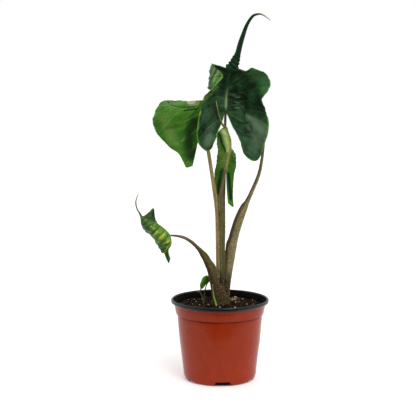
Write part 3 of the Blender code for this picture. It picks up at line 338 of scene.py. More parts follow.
# --- leaf stalks --------------------------------------------------------------
# Each stalk from the bottom: centre line point, half width, half depth, lean of its cut (0 level, 1 square
# to the line) and its sheath: how much thinner it gets towards an edge (plus: left edge, minus: right edge).
LEFT_STALK = [
    (-2, 5, 104, 5.4, 5.0, 0, 0.0), (-2, 5, 124, 5.4, 5.0, 0, 0.0), (-1.5, 4.4, 150, 4.8, 4.8, 0, 0.0),
    (-1.5, 2.8, 187, 5.1, 4.5, 0, 0.0), (-1.8, 2, 217, 5.3, 4.3, 0, 0.0),
    (-2.6, 2, 245, 4.8, 4.0, 0.3, 0.0), (-3.4, 2, 268, 4.6, 3.8, 0.7, 0.0),
    (-5.5, 1, 288, 4.2, 3.6, 1, 0.0), (-9, 0, 309, 3.4, 3.4, 1, 0.0), (-13, 0, 336, 3.3, 3.3, 1, 0.0),
    (-19, 2, 374, 3.2, 3.2, 1, 0.0), (-25, 4, 407, 3.0, 3.0, 1, 0.0), (-27.6, 6.4, 428, 2.5, 2.5, 1, 0.0),
    (-28.3, 7.2, 446.8, 2.0, 2.0, 1, 0.0),
]
TOP_STALK = [
    (4.5, 9.5, 104, 4.4, 3.6, 0, 0.0), (4.5, 9.5, 124, 4.4, 3.6, 0, 0.0), (4.5, 9, 160, 4.0, 3.5, 0, 0.0),
    (5, 8.5, 211, 3.6, 3.3, 0, 0.0), (6, 8.5, 249, 3.2, 3.1, 0.6, 0.0), (6.1, 8.5, 294, 2.7, 2.7, 1, 0.0),
    (7.2, 9.5, 326, 2.5, 2.5, 1, 0.0), (7.6, 11, 350, 2.4, 2.4, 1, 0.0), (8, 12, 380, 2.4, 2.4, 1, 0.0),
    (8.3, 11, 410, 2.3, 2.3, 1, 0.0), (8.6, 9.8, 428, 2.2, 2.2, 1, 0.0), (9.1, 8.7, 437, 1.9, 1.9, 1, 0.0),
]
MIDDLE_STALK = [
    (5.2, 2, 104, 4.4, 4.4, 0, 0.0), (5.2, 2, 124, 4.4, 4.4, 0, -0.1), (5.2, 1.5, 150, 4.1, 4.2, 0, -0.25),
    (4.9, 0, 187, 4.6, 4.1, 0, -0.3), (4.4, -1, 217, 4.5, 3.9, 0, -0.35),
    (4.3, -1.5, 243, 4.2, 3.6, 0, -0.55), (3.5, -2, 261, 4.8, 3.3, 0.4, -0.55),
    (2.5, -2, 277, 4.7, 3.0, 0.8, -0.45), (1.4, -2.4, 290, 4.7, 2.6, 1, -0.2),
    (1.9, -3.0, 303, 3.6, 2.4, 1, 0.0), (4.6, -3.6, 322, 2.2, 2.2, 1, 0.0),
    (7.2, -3.6, 335, 2.0, 2.0, 1, 0.0), (9.5, -3.0, 343.6, 1.6, 1.6, 1, 0.0),
]
REAR_STALK = [
    (11.5, 4.5, 104, 5.8, 6.0, 0, 0.0), (11.5, 4.5, 124, 5.8, 6.0, 0, 0.0),
    (11.2, 4.6, 145, 5.7, 5.8, 0, 0.1), (12.1, 4.8, 170, 7.8, 5.5, 0, 0.25),
    (14.8, 5, 195, 9.3, 5.2, 0, 0.35), (17.6, 5.5, 216, 10.0, 5.0, 0.1, 0.4),
    (21.5, 6, 230, 8.3, 4.8, 0.5, 0.6), (25.3, 6.5, 244, 8.0, 4.6, 0.8, 0.6),
    (30.7, 7, 261, 7.8, 4.4, 1, 0.6), (35.8, 8, 274, 7.1, 4.2, 1, 0.6), (40, 8.7, 283, 6.2, 4.0, 1, 0.5),
    (44.6, 9.4, 291.5, 4.2, 3.7, 1, 0.25), (50, 10.2, 303, 3.6, 3.4, 1, 0.05),
    (63, 13, 334, 3.0, 3.0, 1, 0.0), (68, 15, 358, 2.7, 2.7, 1, 0.0), (71, 18, 384, 2.4, 2.4, 1, 0.0),
    (71.6, 20.5, 400, 2.2, 2.2, 1, 0.0), (70.5, 22.3, 410.9, 1.9, 1.9, 1, 0.0),
]
YOUNG_STALK = [
    (0, -5.2, 104, 15.6, 4.4, 0, 0.0), (0, -5.2, 124, 15.4, 4.4, 0, 0.0),
    (-1.6, -5.4, 139, 13.0, 4.4, 0, 0.0), (-4.9, -5.6, 150, 10.4, 4.5, 0, -0.2),
    (-8.2, -5.8, 161, 9.0, 4.7, 0, -0.4), (-11.1, -6.2, 172, 8.4, 4.7, 0.1, -0.5),
    (-13.9, -6.8, 183, 8.2, 4.6, 0.4, -0.55), (-19.1, -7.5, 192.5, 6.8, 4.2, 0.8, -0.6),
    (-23, -8.4, 200, 6.0, 3.9, 1, -0.6), (-27.2, -9.4, 206.9, 5.5, 3.4, 1, -0.5),
    (-31.9, -11, 213.7, 4.3, 3.0, 1, -0.25), (-37.5, -12.3, 219.7, 3.3, 2.8, 1, 0.0),
    (-44.9, -13.4, 226.8, 3.0, 2.6, 1, 0.0), (-52.6, -14.4, 232.4, 2.9, 2.5, 1, 0.0),
    (-60.8, -15.3, 236.2, 2.6, 2.3, 1, 0.0), (-70.5, -16.3, 238.2, 2.2, 2.0, 1, 0.0),
    (-78.9, -17.4, 238.9, 1.6, 1.6, 1, 0.0),
]
STALKS = {
    "left": LEFT_STALK, "top": TOP_STALK, "middle": MIDDLE_STALK, "rear": REAR_STALK, "young": YOUNG_STALK,
}
STALK_STEP = 1.6
STALK_SIDES = 44
# Pairs of stalks that press together: names, height below which they do, and where the boundary lies between
# their centres (0 at the first, 1 at the second). It is a plane, laid between the centres at two heights.
PRESSED = [
    ("left", "middle", 275, 0.52), ("left", "top", 300, 0.52), ("middle", "top", 290, 0.52),
    ("middle", "rear", 250, 0.30), ("top", "rear", 240, 0.42), ("left", "rear", 230, 0.45),
]
PRESSED_LOW = 110.0
PRESSED_HIGH = 215.0
# The young leaf's sheath wraps the front of the other stalks: depth and height of two points of that
# boundary, and where it ends.
WRAP_LOW = (-1.6, 104.0)
WRAP_HIGH = (-4.4, 204.0)
WRAP_TOP = 215.0

# --- sprouts: points with their radius ------------------------------------------------
SPROUT_STEM = [(-24, 15, 108, 1.3), (-24.5, 15, 122, 1.3), (-25, 15.5, 138, 1.1), (-22, 16, 151, 0.9),
               (-16.6, 13.8, 159.8, 0.8)]
CURLED_SPROUT = [(-26, 8, 108, 2.2), (-26.5, 8, 121, 2.1), (-27, 8, 127, 1.5), (-29, 8, 134, 1.1),
                 (-32.5, 8, 140.6, 0.9), (-35.6, 8, 142.2, 0.8), (-38.6, 8, 141.4, 0.6)]
GREEN_SPIKE = [(-4, -16, 108, 1.5), (-5.2, -16, 121, 1.5), (-8, -15.6, 131, 1.4), (-10.3, -14.6, 140, 1.0),
               (-12.2, -13.8, 158, 0.5)]
SPROUT_STEP = 0.8
SPROUT_SIDES = 16

# --- pot and soil ------------------------------------------------------------------
POT_RIM_R = 80.0
POT_HEIGHT = 132.4
POT_BASE_R = 54.0
POT_WALL = 1.5
POT_FLOOR = 2.0
POT_STEPS = 144
COLLAR_TOP_R = 74.4
COLLAR_LOW_R = 71.6
WALL_TOP_R = 69.2
WALL_MIDDLE_R = 65.8
WALL_LOW_R = 61.0
STEP_Z = 107.0
# How far a rounded corner reaches along its edges: in mm, and at most as a share of an edge.
CORNER_ROUNDING = 2.0
CORNER_SHARE = 0.42
# The black inner sheet is what the outline has before the first of these points and after the second.
LIP_POINTS = 6
FLOOR_POINT = 20
OUTSIDE, INSIDE, DUST_AND_SHADE_INSIDE = 0, 1, 2
NOTCHES = 6
NOTCH_TURN = 4.0
NOTCH_LOW_W = 31.5
NOTCH_TOP_W = 22.5
NOTCH_HIGH = 7.4
NOTCH_FOOT = -3.0
NOTCH_NARROWER = 11.0
NOTCH_MIDDLE_R = 57.5
NOTCH_HALF_DEPTH = 6.5
SOIL_TOP = 121.0
SOIL_EDGE_R = 71.6
SOIL_MOUND = 1.8
SOIL_STEPS = 300
SOIL_RINGS = 110
FIBRE_POINTS = 7
FIBRE_SIDES = 4
# The way that a bit lies is drawn from nearly a full turn.
ANY_WAY = (0, 6.28)
# Places (x, y) of the bits that lie in plain view round the crown.
PERLITE_BEHIND = [(-34, 44), (-29, 45), (-52, 38), (-17, 62), (52, 30), (38, 46)]
CREAM_BARK = [(19, 40), (22, 47), (25, 38), (27, 52), (30, 30), (23, 31), (31, 42), (20, 24), (34, 20),
              (26, 12), (21, 35), (25, 44), (28, 35), (32, 36)]

# --- crown: where the leaf stalks stand packed together in the soil, inside an oval -----------------
GAP = 0.3
CROWN_CENTRE = (1.0, 2.0)
CROWN_HALF = (16.5, 11.5)
CROWN_TOP = SOIL_TOP + 15

# --- stage -------------------------------------------------------------------------
CAMERA_AT = (-0.0194, -1.9, 0.518)
CAMERA_DOWN = 7.10
FOCAL_PIXELS = 1182.0
FRAME_PIXELS = 416
SENSOR_MM = 36.0
NEAREST_SEEN = 0.05
FLOOR_FRONT = -0.245
FLOOR_HALF = 3.0
FLOOR_DROP = 0.0002


# --- numbers and meshes ----------------------------------------------------------
def linear(hex_colour):
    """sRGB hex to linear RGBA."""
    parts = [int(hex_colour[i:i + 2], 16) / 255 for i in (1, 3, 5)]
    return (*(p / 12.92 if p <= 0.04045 else ((p + 0.055) / 1.055) ** 2.4 for p in parts), 1.0)


def through(keys, places, s):
    """Smooth curve through the rows of keys at the rising places, read at every s."""
    keys, places = np.asarray(keys, float), np.asarray(places, float)
    last = len(places) - 1
    s = np.clip(np.asarray(s, float), places[0], places[-1])
    k = np.clip(np.searchsorted(places, s) - 1, 0, last - 1)
    before = np.maximum(np.arange(last + 1) - 1, 0)
    after = np.minimum(np.arange(last + 1) + 1, last)
    slopes = (keys[after] - keys[before]) / (places[after] - places[before])[:, None]
    step = (places[k + 1] - places[k])[..., None]
    t = (s - places[k])[..., None] / step
    return ((2 * t**3 - 3 * t**2 + 1) * keys[k] + (t**3 - 2 * t**2 + t) * step * slopes[k]
            + (3 * t**2 - 2 * t**3) * keys[k + 1] + (t**3 - t**2) * step * slopes[k + 1])


def lengths(points):
    """Running length along a list of points."""
    points = np.asarray([p[:3] for p in points], float)
    return np.concatenate([[0.0], np.cumsum(np.linalg.norm(np.diff(points, axis=0), axis=1))])


def unit(vectors):
    """Vectors made one long; one without length stays as it is."""
    return vectors / np.maximum(np.linalg.norm(vectors, axis=-1, keepdims=True), 1e-9)


def smooth(low, high, x):
    """0 at low, 1 at high, eased between."""
    x = np.clip((x - low) / (high - low), 0, 1)
    return x * x * (3 - 2 * x)


def bell(x, wide):
    """1 at 0, falling softly to almost nothing at twice the width."""
    return np.exp(-(x / wide) ** 2)


def soft_noise(points, seed, size, layers=3):
    """Soft noise from about -1 to 1: sine waves in seeded directions, the longest size mm long."""
    rng = np.random.default_rng(seed)
    total = np.zeros(points.shape[:-1])
    for layer in range(layers):
        for _ in range(5):
            way = unit(rng.normal(size=3)) * 2 * math.pi / size * 1.9**layer
            total += np.sin(points @ way + rng.uniform(0, 2 * math.pi)) * 0.55**layer / 4
    return total


def along(keys, step, reach, whole=int):
    """Even steps along a line of keys: running length, the keys there, and the way ahead over the reach."""
    run = lengths(keys)
    s = np.linspace(0, run[-1], max(6, whole(run[-1] / step)) + 1)
    ahead = through(keys, run, np.minimum(s + reach, run[-1])) - through(keys, run, np.maximum(s - reach, 0))
    return s, through(keys, run, s), unit(ahead[:, :3])


def turned(ahead):
    """The two directions square to the way ahead: right, and back, which stays as near +Y as it can."""
    back = unit(np.array((0, 1, 0)) - ahead * ahead[:, 1:2])
    return np.cross(back, ahead), back


def placed(name, data):
    """New object in the scene."""
    made = bpy.data.objects.new(name, data)
    bpy.context.scene.collection.objects.link(made)
    return made


def piece(name, points, faces, skins, replaced=(), marks=None, face_skins=None, uv=None):
    """Mesh object from points in mm, riding on the root body, with its materials and vertex marks."""
    mesh = bpy.data.meshes.new(name)
    mesh.from_pydata((np.asarray(points, float).reshape(-1, 3) * MM).tolist(), [], faces)
    for one in skins:
        mesh.materials.append(one)
    if face_skins is not None:
        mesh.polygons.foreach_set("material_index", face_skins)
    for key, values in (marks or {}).items():
        mesh.attributes.new(key, "FLOAT", "POINT").data.foreach_set("value", np.ravel(values))
    if uv is not None:
        corners = np.zeros(len(mesh.loops), np.int32)
        mesh.loops.foreach_get("vertex_index", corners)
        flat = np.asarray(uv, float).reshape(-1, 2) * MM
        mesh.uv_layers.new(name="surface").data.foreach_set("uv", np.ravel(flat[corners]))
    mesh.shade_smooth()
    made = placed(name, mesh)
    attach(made, "root")
    if replaced:
        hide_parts(*replaced)
    return made


def grid_faces(rows, columns, closed=False, first=0):
    """Quads of a grid of points numbered row by row; closed joins the last column to the first."""
    wide = columns if closed else columns - 1
    return [(first + i * columns + j, first + i * columns + (j + 1) % columns,
             first + (i + 1) * columns + (j + 1) % columns, first + (i + 1) * columns + j)
            for i in range(rows - 1) for j in range(wide)]


def capped_faces(rows, columns, first=0):
    """Faces of a tube made of rings of points, with both its ends closed."""
    last = first + (rows - 1) * columns
    ends = [tuple(range(first, first + columns))[::-1], tuple(range(last, last + columns))]
    return grid_faces(rows, columns, closed=True, first=first) + ends


def weld(mesh, outwards=False):
    """Joins the points that lie together, and can turn every face outwards."""
    bm = bmesh.new()
    bm.from_mesh(mesh)
    bmesh.ops.remove_doubles(bm, verts=bm.verts, dist=WELD)
    if outwards:
        bmesh.ops.recalc_face_normals(bm, faces=bm.faces)
    bm.to_mesh(mesh)
    bm.free()


def meshed(name, bm):
    """Mesh from a finished bmesh, which is freed."""
    mesh = bpy.data.meshes.new(name)
    bm.to_mesh(mesh)
    bm.free()
    return mesh


# --- skins: nodes and repeated looks ------------------------------------------------------
def feed(tree, node, inputs):
    """Sets a node's inputs: numbers and colours as values, nodes and sockets as links."""
    for key, value in inputs.items():
        socket = node.inputs[key] if isinstance(key, int) else next(
            s for s in node.inputs if s.name == key and s.enabled)
        if isinstance(value, bpy.types.Node):
            value = next(s for s in value.outputs if s.enabled)
        if isinstance(value, bpy.types.NodeSocket):
            tree.links.new(value, socket)
        else:
            socket.default_value = value


def add(tree, kind, inputs=None, **settings):
    """Adds one node with its settings and inputs."""
    node = tree.nodes.new(kind)
    for key, value in settings.items():
        setattr(node, key, value)
    feed(tree, node, inputs or {})
    return node


def start_skin(name, ior, roughness, sheen):
    """New material with its shader's own numbers set: the material, its tree and its shader."""
    made = bpy.data.materials.new(name)
    made.use_nodes = True
    shader = made.node_tree.nodes["Principled BSDF"]
    feed(made.node_tree, shader, {"IOR": ior, "Roughness": roughness, "Specular IOR Level": sheen})
    return made, made.node_tree, shader


def per(size_mm):
    """Texture scale for a pattern that repeats about every size_mm."""
    return 1 / (size_mm * MM)


def patches(tree, place, size_mm, detail, low, high, least=0.0, most=1.0, **grain):
    """Soft patches of a size: the noise itself, and its part from low to high spread over least to most."""
    noise = add(tree, "ShaderNodeTexNoise", {"Vector": place, "Scale": per(size_mm), "Detail": detail,
                                             **grain})
    spread = add(tree, "ShaderNodeMapRange", {"Value": noise, "From Min": low, "From Max": high,
                                              "To Min": least, "To Max": most})
    return noise, spread


def painted(tree, colour, coats, gain=1.0):
    """Lays one coat after another over a colour, each by a pattern's share or by a vertex mark's name."""
    for share, coat in coats:
        if isinstance(share, str):
            share = add(tree, "ShaderNodeAttribute", attribute_name=share).outputs["Fac"]
        if gain != 1:
            share = add(tree, "ShaderNodeMath", {0: share, 1: gain}, operation="MULTIPLY", use_clamp=True)
        coat = linear(coat) if isinstance(coat, str) else coat
        colour = add(tree, "ShaderNodeMix", {"Factor": share, "A": colour, "B": coat}, data_type="RGBA")
    return colour


# --- leaves -----------------------------------------------------------------------------
# Steps over which the blade's slope is measured, as shares of its length and of a vein.
PROBE_S = 0.02
PROBE_T = 0.03
VEIN_GROOVE = 0.30
VEINLET_GROOVE = 0.12
VEIN_RIDGE = 0.45
EDGE_THINNING = 0.25
THINNEST = 0.35
FRILLS_A_RUFFLE = 3.3
TAIL_EDGE = 0.4
# Kinds of paint that the strokes lay on; painted shade, painted sheen and painted light are among them.
PAINTS = ("pale", "lit_sheen", "fresh_and_lit", "shade", "spot", "cream", "tan", "fold_highlight", "fold_shade")


def leaf_skin(name, deep, light, vein, rim, tail, roughness, tip="#8f9a52", shade="#0b1c0a", pale="#62806c",
              fresh_and_lit="#7fa548", sheen=0.22, hidden_face=False, veins=1.0):
    """Living leaf under its own film of wax: green in soft patches, with pale veins and a bright margin.

    The film gives a broad, dull shine that breaks up over the cells. The net of cells is far finer on a real
    leaf, and is drawn as coarse as it needs to be to show. Its vertex marks lay on painted shade, painted
    sheen and painted light besides the leaf's own colours.
    """
    made, tree, shader = start_skin(name, 1.45, roughness, sheen)
    place = add(tree, "ShaderNodeTexCoord").outputs["Object"]
    clouds, spread = patches(tree, place, 18, 4.0, 0.38, 0.62)
    grain, fleck = patches(tree, place, 2.6, 3.0, 0.35, 0.7, 0.76, 1.18)
    green = painted(tree, linear(deep), [(spread, light)])
    green = add(tree, "ShaderNodeMix", {"Factor": 1.0, "A": green, "B": fleck}, data_type="RGBA",
                blend_type="MULTIPLY")
    # The hidden face gets only the painted highlights and painted shade of its folds. The front face gets
    # painted sheen, painted light and its own bright green under the veins, then painted shade with its
    # spots, cream and tan over them.
    if hidden_face:
        green = painted(tree, green, [("fold_highlight", pale), ("fold_shade", shade)])
    else:
        green = painted(tree, green, [("pale", pale), ("lit_sheen", "#447844"), ("fresh_and_lit", fresh_and_lit)])
    green = painted(tree, green, [("vein", vein), ("rib", vein)], veins)
    if not hidden_face:
        green = painted(tree, green, [("shade", shade), ("spot", "#b3bf35"), ("cream", "#bfb493"),
                                      ("tan", "#9a8a55")])
    green = painted(tree, green, [("rim", rim), ("tail", tail), ("tip", tip)])
    dull = add(tree, "ShaderNodeMapRange", {"Value": clouds, "From Min": 0.3, "From Max": 0.7,
                                            "To Min": roughness - 0.05, "To Max": roughness + 0.10})
    cells = add(tree, "ShaderNodeTexVoronoi", {"Vector": place, "Scale": per(2.4)},
                feature="DISTANCE_TO_EDGE")
    net = add(tree, "ShaderNodeMapRange", {"Value": cells, "From Max": 0.25})
    height = add(tree, "ShaderNodeMath", {0: net, 1: grain}, operation="ADD")
    bump = add(tree, "ShaderNodeBump", {"Height": height, "Strength": 0.35, "Distance": 0.00012})
    feed(tree, shader, {"Base Color": green, "Roughness": dull, "Normal": bump})
    return made


def leaf_points(shape, side, s, t):
    """The blade's middle surface: s runs over the veins, t along a vein from rib to margin."""
    rows = shape[side]
    got = through([(*end, *bow) for _, end, bow in rows], [row[0] for row in rows], s)[:, None]
    run = lengths(shape["line"])
    share = np.maximum(0, (s - shape["fan"]) / (1 - shape["fan"]))
    root = through(shape["line"], run, share * run[-1])[:, None]
    t = t[None, :, None]
    return root * (1 - t) + got[..., :3] * t + got[..., 3:] * np.sin(math.pi * t)


def blade_frame(shape, side, sign, s, t):
    """Smooth surface of one half: its points, the way square to it, and how many mm s and t run there.

    The sign is -1 on the left half and 1 on the right, here and below.
    """
    s_low, s_high = np.maximum(s - PROBE_S, 0), np.minimum(s + PROBE_S, 1)
    t_low, t_high = np.maximum(t - PROBE_T, 0), np.minimum(t + PROBE_T, 1)
    ahead = leaf_points(shape, side, s_high, t) - leaf_points(shape, side, s_low, t)
    out = leaf_points(shape, side, s, t_high) - leaf_points(shape, side, s, t_low)
    fast = np.linalg.norm(ahead, axis=-1) / (s_high - s_low)[:, None]
    long = np.linalg.norm(out, axis=-1) / (t_high - t_low)
    return leaf_points(shape, side, s, t), unit(np.cross(ahead, out)) * sign, fast, long


def gap_to(path, points):
    """How far points are from a line, as both are seen from the front."""
    x, z = points[..., 0], points[..., 2]
    gap = np.hypot(x - path[0][0], z - path[0][1])
    for start, end in zip(path, path[1:]):
        way = np.subtract(end, start)
        f = np.clip(((x - start[0]) * way[0] + (z - start[1]) * way[1]) / (way @ way), 0, 1)
        gap = np.minimum(gap, np.hypot(x - start[0] - f * way[0], z - start[1] - f * way[1]))
    return gap


def stroked(shape, side, kind, points):
    """One kind of look laid on by all its strokes; relief adds up, and of paints the strongest counts."""
    total = np.zeros(points.shape[:-1])
    for path, *looks in shape["strokes"].get(side, ()):
        for what, reach, strength in looks:
            if what == kind == "relief":
                total = total + strength * bell(gap_to(path, points), reach)
            elif what == kind:
                total = np.maximum(total, strength * np.exp(-(gap_to(path, points) / reach) ** 3))
    return total


def blade_veins(shape, points, sign, s, t, fast, long):
    """One half's main veins and veinlets, from 0 to 1, and the relief of its quilted surface in mm."""
    # Cells lie between the main veins, which waver a little; the first and last cell run off the blade.
    stops = np.concatenate([[-0.07], shape["veins"], [1.07]])
    bent = s + 0.02 * np.sin(5 * t + 9 * s + sign)
    cell = np.clip(np.searchsorted(stops, bent) - 1, 0, len(stops) - 2)
    low, high = stops[cell], stops[cell + 1]
    f = (bent - low) / (high - low)
    apart = (high - low) * fast
    inside = smooth(0.0, 0.16, t) * (1 - smooth(0.85, 1.0, t))
    near = np.minimum(np.where(low < 0, 9, bent - low), np.where(high > 1, 9, high - bent)) * fast
    vein = bell(near, 0.35 + 0.75 * (1 - t)) * (1 - smooth(0.75, 1.0, t)) * smooth(0.0, 0.08, t)
    # Veinlets cross each cell in an arch, out of step with those of the next cell.
    phase = t * shape["branches"] - 0.8 * (1 - np.abs(2 * f - 1)) + 0.37 * cell
    off = np.abs((phase % 1.0) - 0.5) / shape["branches"] * long
    veinlet = bell(0.5 * long / shape["branches"] - off, 0.55) * smooth(3.0, 9.0, apart) * inside
    pillow = np.sin(math.pi * np.clip(f, 0, 1)) ** 0.8 * inside * np.minimum(apart / 16, 1)
    quilt = shape["quilt"] * pillow * (1 + 0.22 * np.sin(2 * math.pi * phase + 0.6))
    quilt += shape["lumps"] * soft_noise(points, 11, 30) * inside
    quilt -= VEIN_GROOVE * vein + VEINLET_GROOVE * veinlet
    return vein, veinlet, quilt, inside


def leaf_half(shape, side, sign, s, t):
    """One half of the blade, ruffled and quilted between its veins: points, thickness and marks."""
    points, back, fast, long = blade_frame(shape, side, sign, s, t)
    s, t = np.broadcast_arrays(s[:, None], t[None, :])
    vein, veinlet, quilt, inside = blade_veins(shape, points, sign, s, t, fast, long)

    size, count, spread = shape["ruffle"]
    fade = np.sqrt(np.clip(np.sin(math.pi * np.minimum(s * 1.1, 1)), 0, 1))
    waves = 2 * math.pi * count * s
    lift = size * fade * t**spread * np.sin(waves + shape["twist"] + sign)
    lift += shape["frill"] * fade * t**4 * np.sin(FRILLS_A_RUFFLE * waves + 2 * shape["twist"] + sign)
    warp = 0.22 * soft_noise(points, 17, 16)
    wave = np.abs(np.sin(math.pi * (count * s + 0.25 * t * sign + 0.1 * sign + warp)))
    pleat = shape["pleat"] * fade * smooth(0.0, 0.3, t) * (1 - 0.92 * smooth(0.5, 1.0, t)) * (wave - 0.6)

    # The paints, painted shade and painted light among them, fade out where the blade turns edge-on to the
    # front.
    facing = smooth(0.06, 0.3, np.abs(back[..., 1]))
    paint = {kind: stroked(shape, side, kind, points) * facing for kind in PAINTS}
    up = -1 if shape["face"] == "upper" else 1
    front = np.where(back[..., 1] > 0, -1.0, 1.0)
    raised = front * (stroked(shape, side, "relief", points) * inside + pleat)
    points = points + back * (lift + up * quilt + raised)[..., None]

    edge, stem = (1 - t) * long, t * long
    rim = np.maximum(bell(edge, shape["rim_wide"]), bell(s * fast, shape["rim_wide"]) * smooth(0.05, 0.3, t))
    rib = bell(stem, 1.8) * smooth(shape["fan"] - 0.02, shape["fan"] + 0.1, s) * smooth(0.78, 0.45, s)
    fat = shape["blade"] + shape["rib"] * (1 - 0.35 * s) * bell(stem, 1.7)
    fat += VEIN_RIDGE * vein - EDGE_THINNING * rim
    worn_rim = np.clip(0.5 + 0.9 * soft_noise(points, 5, 24), 0.1, 1)
    marks = {
        "vein": np.clip(shape["vein_show"] * (vein + 0.35 * veinlet), 0, 1), "rib": rib * shape["rib_show"],
        "rim": rim * shape["rim_show"] * worn_rim, "tail": smooth(0.93, 1.02, s), "tip": 0 * s, **paint,
    }
    # Painted shade in the pleats' valleys, and painted light on their crests near the rib.
    strong = shape["pleat_shade"] * smooth(0.02, 0.2, t) * (0.75 + 0.5 * soft_noise(points, 19, 12))
    crest = smooth(0.75, 1.0, wave) * smooth(1.0, 0.7, t) * smooth(0.75, 0.4, s)
    marks["shade"] = np.maximum(marks["shade"], strong * smooth(0.5, 0.1, wave))
    marks["fresh_and_lit"] = np.maximum(marks["fresh_and_lit"], 0.7 * strong * crest)
    return points, np.maximum(fat, THINNEST), marks


def leaf_tail(shape, t, across):
    """Rows along the tail: a strip that swells to its middle, puckered near the blade."""
    bump, reach = shape["pucker"]
    s, spine, ahead = along(shape["tail"], shape["tail_step"], 1)
    u = np.concatenate([-t[::-1], t[1:]])
    points, fat = [], []
    for (x, y, z, wide, deep), way, far in zip(spine, ahead, s):
        across = unit(across - way * across.dot(way))
        face = np.cross(way, across)
        knob = bump * max(0.0, 1 - far / reach) if reach else 0.0
        edge = 1 + knob / wide * np.sin(1.1 * far + np.where(u < 0, 0.0, 2.2)) * np.abs(u)
        lift = knob * 0.6 * np.sin(0.88 * far + 3.0 * u)
        row = np.array((x, y, z)) + across * (wide * u * edge)[:, None] + face * lift[:, None]
        row += face * (0.45 * knob * soft_noise(row, 3, 5, 2))[:, None]
        points.append(row)
        fat.append(np.maximum(TAIL_EDGE, 2 * deep * np.sqrt(np.maximum(0, 1 - u * u))))
    share = np.repeat((s / s[-1])[:, None], len(u), axis=1)
    return np.array(points), np.array(fat), {"tail": 1 + 0 * share, "tip": smooth(*shape["tip_from"], share)}


def both_halves(left, right):
    """One sheet from the two halves, which share the rib's column."""
    return np.concatenate([left[:, ::-1], right[:, 1:]], axis=1)


def leaf(name, shape, node, upper, under):
    """A blade and its tail as one sheet, given its own thickness at each point."""
    s = np.linspace(0, 1, shape["rows"] + 1)
    t = np.linspace(0, 1, shape["columns"] + 1) ** 1.2
    left_points, left_fat, left_marks = leaf_half(shape, "left", -1, s, t)
    right_points, right_fat, right_marks = leaf_half(shape, "right", 1, s, t)
    across = unit(right_points[-1, -1] - left_points[-1, -1])
    tail_points, tail_fat, tail_marks = leaf_tail(shape, t, across)
    settle = smooth(0.90, 1.0, s)[:, None]
    fat = both_halves(left_fat, right_fat)
    fat = fat * (1 - settle) + np.maximum(fat, tail_fat[0]) * settle
    fat = np.concatenate([fat, tail_fat[1:]])
    points = np.concatenate([both_halves(left_points, right_points), tail_points[1:]])
    marks = {}
    for key in left_marks:
        rest = tail_marks.get(key, 0 * tail_marks["tip"])[1:]
        marks[key] = np.concatenate([both_halves(left_marks[key], right_marks[key]), rest])
    skins = [upper, under] if shape["face"] == "upper" else [under, upper]
    made = piece(name, points, grid_faces(*fat.shape), skins, [node], marks)
    thick = float(fat.max())
    group = made.vertex_groups.new(name="thickness")
    for index, value in enumerate(np.ravel(fat)):
        group.add([index], float(value) / thick, "REPLACE")
    weld(made.data)
    shell = made.modifiers.new("blade_thickness", "SOLIDIFY")
    shell.thickness = thick * MM
    shell.offset = 0.0
    shell.vertex_group = "thickness"
    shell.material_offset = 1
    return made


# --- leaf stalks --------------------------------------------------------------------------
def stalk_skin(name, pale, brown, side, top, moss):
    """Fleshy living stalk: satin, crossed by wavy ripples and freckled, brown and crusted near the soil.

    Its moist skin gives a soft shine. The ripples and freckles are a millimetre or less on a real stalk, and
    are drawn twice as coarse so that they show.
    """
    made, tree, shader = start_skin(name, 1.42, 0.5, 0.22)
    flat = add(tree, "ShaderNodeUVMap", uv_map="surface")
    squeeze = add(tree, "ShaderNodeMapping", {"Vector": flat, "Scale": (0.75, 1.0, 1.0)})
    streak = add(tree, "ShaderNodeMapping", {"Vector": flat, "Scale": (1.0, 0.12, 1.0)})
    blotch = patches(tree, flat, 6, 2.0, 0.42, 0.60, most=0.55)[1]
    ripples, rippled = patches(tree, squeeze, 2.0, 3.0, 0.42, 0.60, most=0.65, Distortion=1.2)
    lines = patches(tree, streak, 2.2, 3.0, 0.35, 0.68, 0.72, 1.22)[1]
    speck = patches(tree, flat, 2.2, 3.0, 0.54, 0.66, most=0.75)[1]
    crumbs = patches(tree, flat, 2.3, 4.0, 0.42, 0.62, Roughness=0.7)[1]
    colour = painted(tree, linear(pale), [(blotch, moss), (rippled, brown), ("side", side), ("top", top)])
    colour = add(tree, "ShaderNodeMix", {"Factor": 1.0, "A": colour, "B": lines}, data_type="RGBA",
                 blend_type="MULTIPLY")
    colour = painted(tree, colour, [(speck, "#2e2216"), ("wing", "#62661e")])
    crust = painted(tree, linear("#1e140d"), [(crumbs, "#705c3e"), (speck, "#20170e")])
    colour = painted(tree, colour, [("base", crust)])
    bump = add(tree, "ShaderNodeBump", {"Height": ripples, "Strength": 0.4, "Distance": 0.0002})
    feed(tree, shader, {"Base Color": colour, "Normal": bump})
    return made


def centre_at(keys, z):
    """Centre of a stalk at height z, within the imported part, where its height rises along it."""
    heights = [key[2] for key in keys]
    rising = [h for i, h in enumerate(heights) if i == 0 or h > heights[i - 1]]
    return through([key[:3] for key in keys[:len(rising)]], rising, z)


def pressed_planes():
    """For each stalk, the planes it stays behind: a point, the outward normal and the height they end at."""
    planes = {name: [] for name in STALKS}
    for first, second, top, share in PRESSED:
        ends = []
        for z in (PRESSED_LOW, min(top, PRESSED_HIGH)):
            a, b = centre_at(STALKS[first], z), centre_at(STALKS[second], z)
            ends.append((unit(b - a), a + (b - a) * share))
        (low_way, low), (high_way, high) = ends
        across, rise = low_way + high_way, high - low
        across[2] = -(across[0] * rise[0] + across[1] * rise[1]) / rise[2]
        across = unit(across)
        planes[first].append((low, across, top))
        planes[second].append((low, -across, top))
    origin = np.array((0, *WRAP_LOW))
    back = unit(np.array((0, 1, -(WRAP_HIGH[0] - WRAP_LOW[0]) / (WRAP_HIGH[1] - WRAP_LOW[1]))))
    for name in planes:
        planes[name].append((origin, back if name == "young" else -back, WRAP_TOP))
    return planes


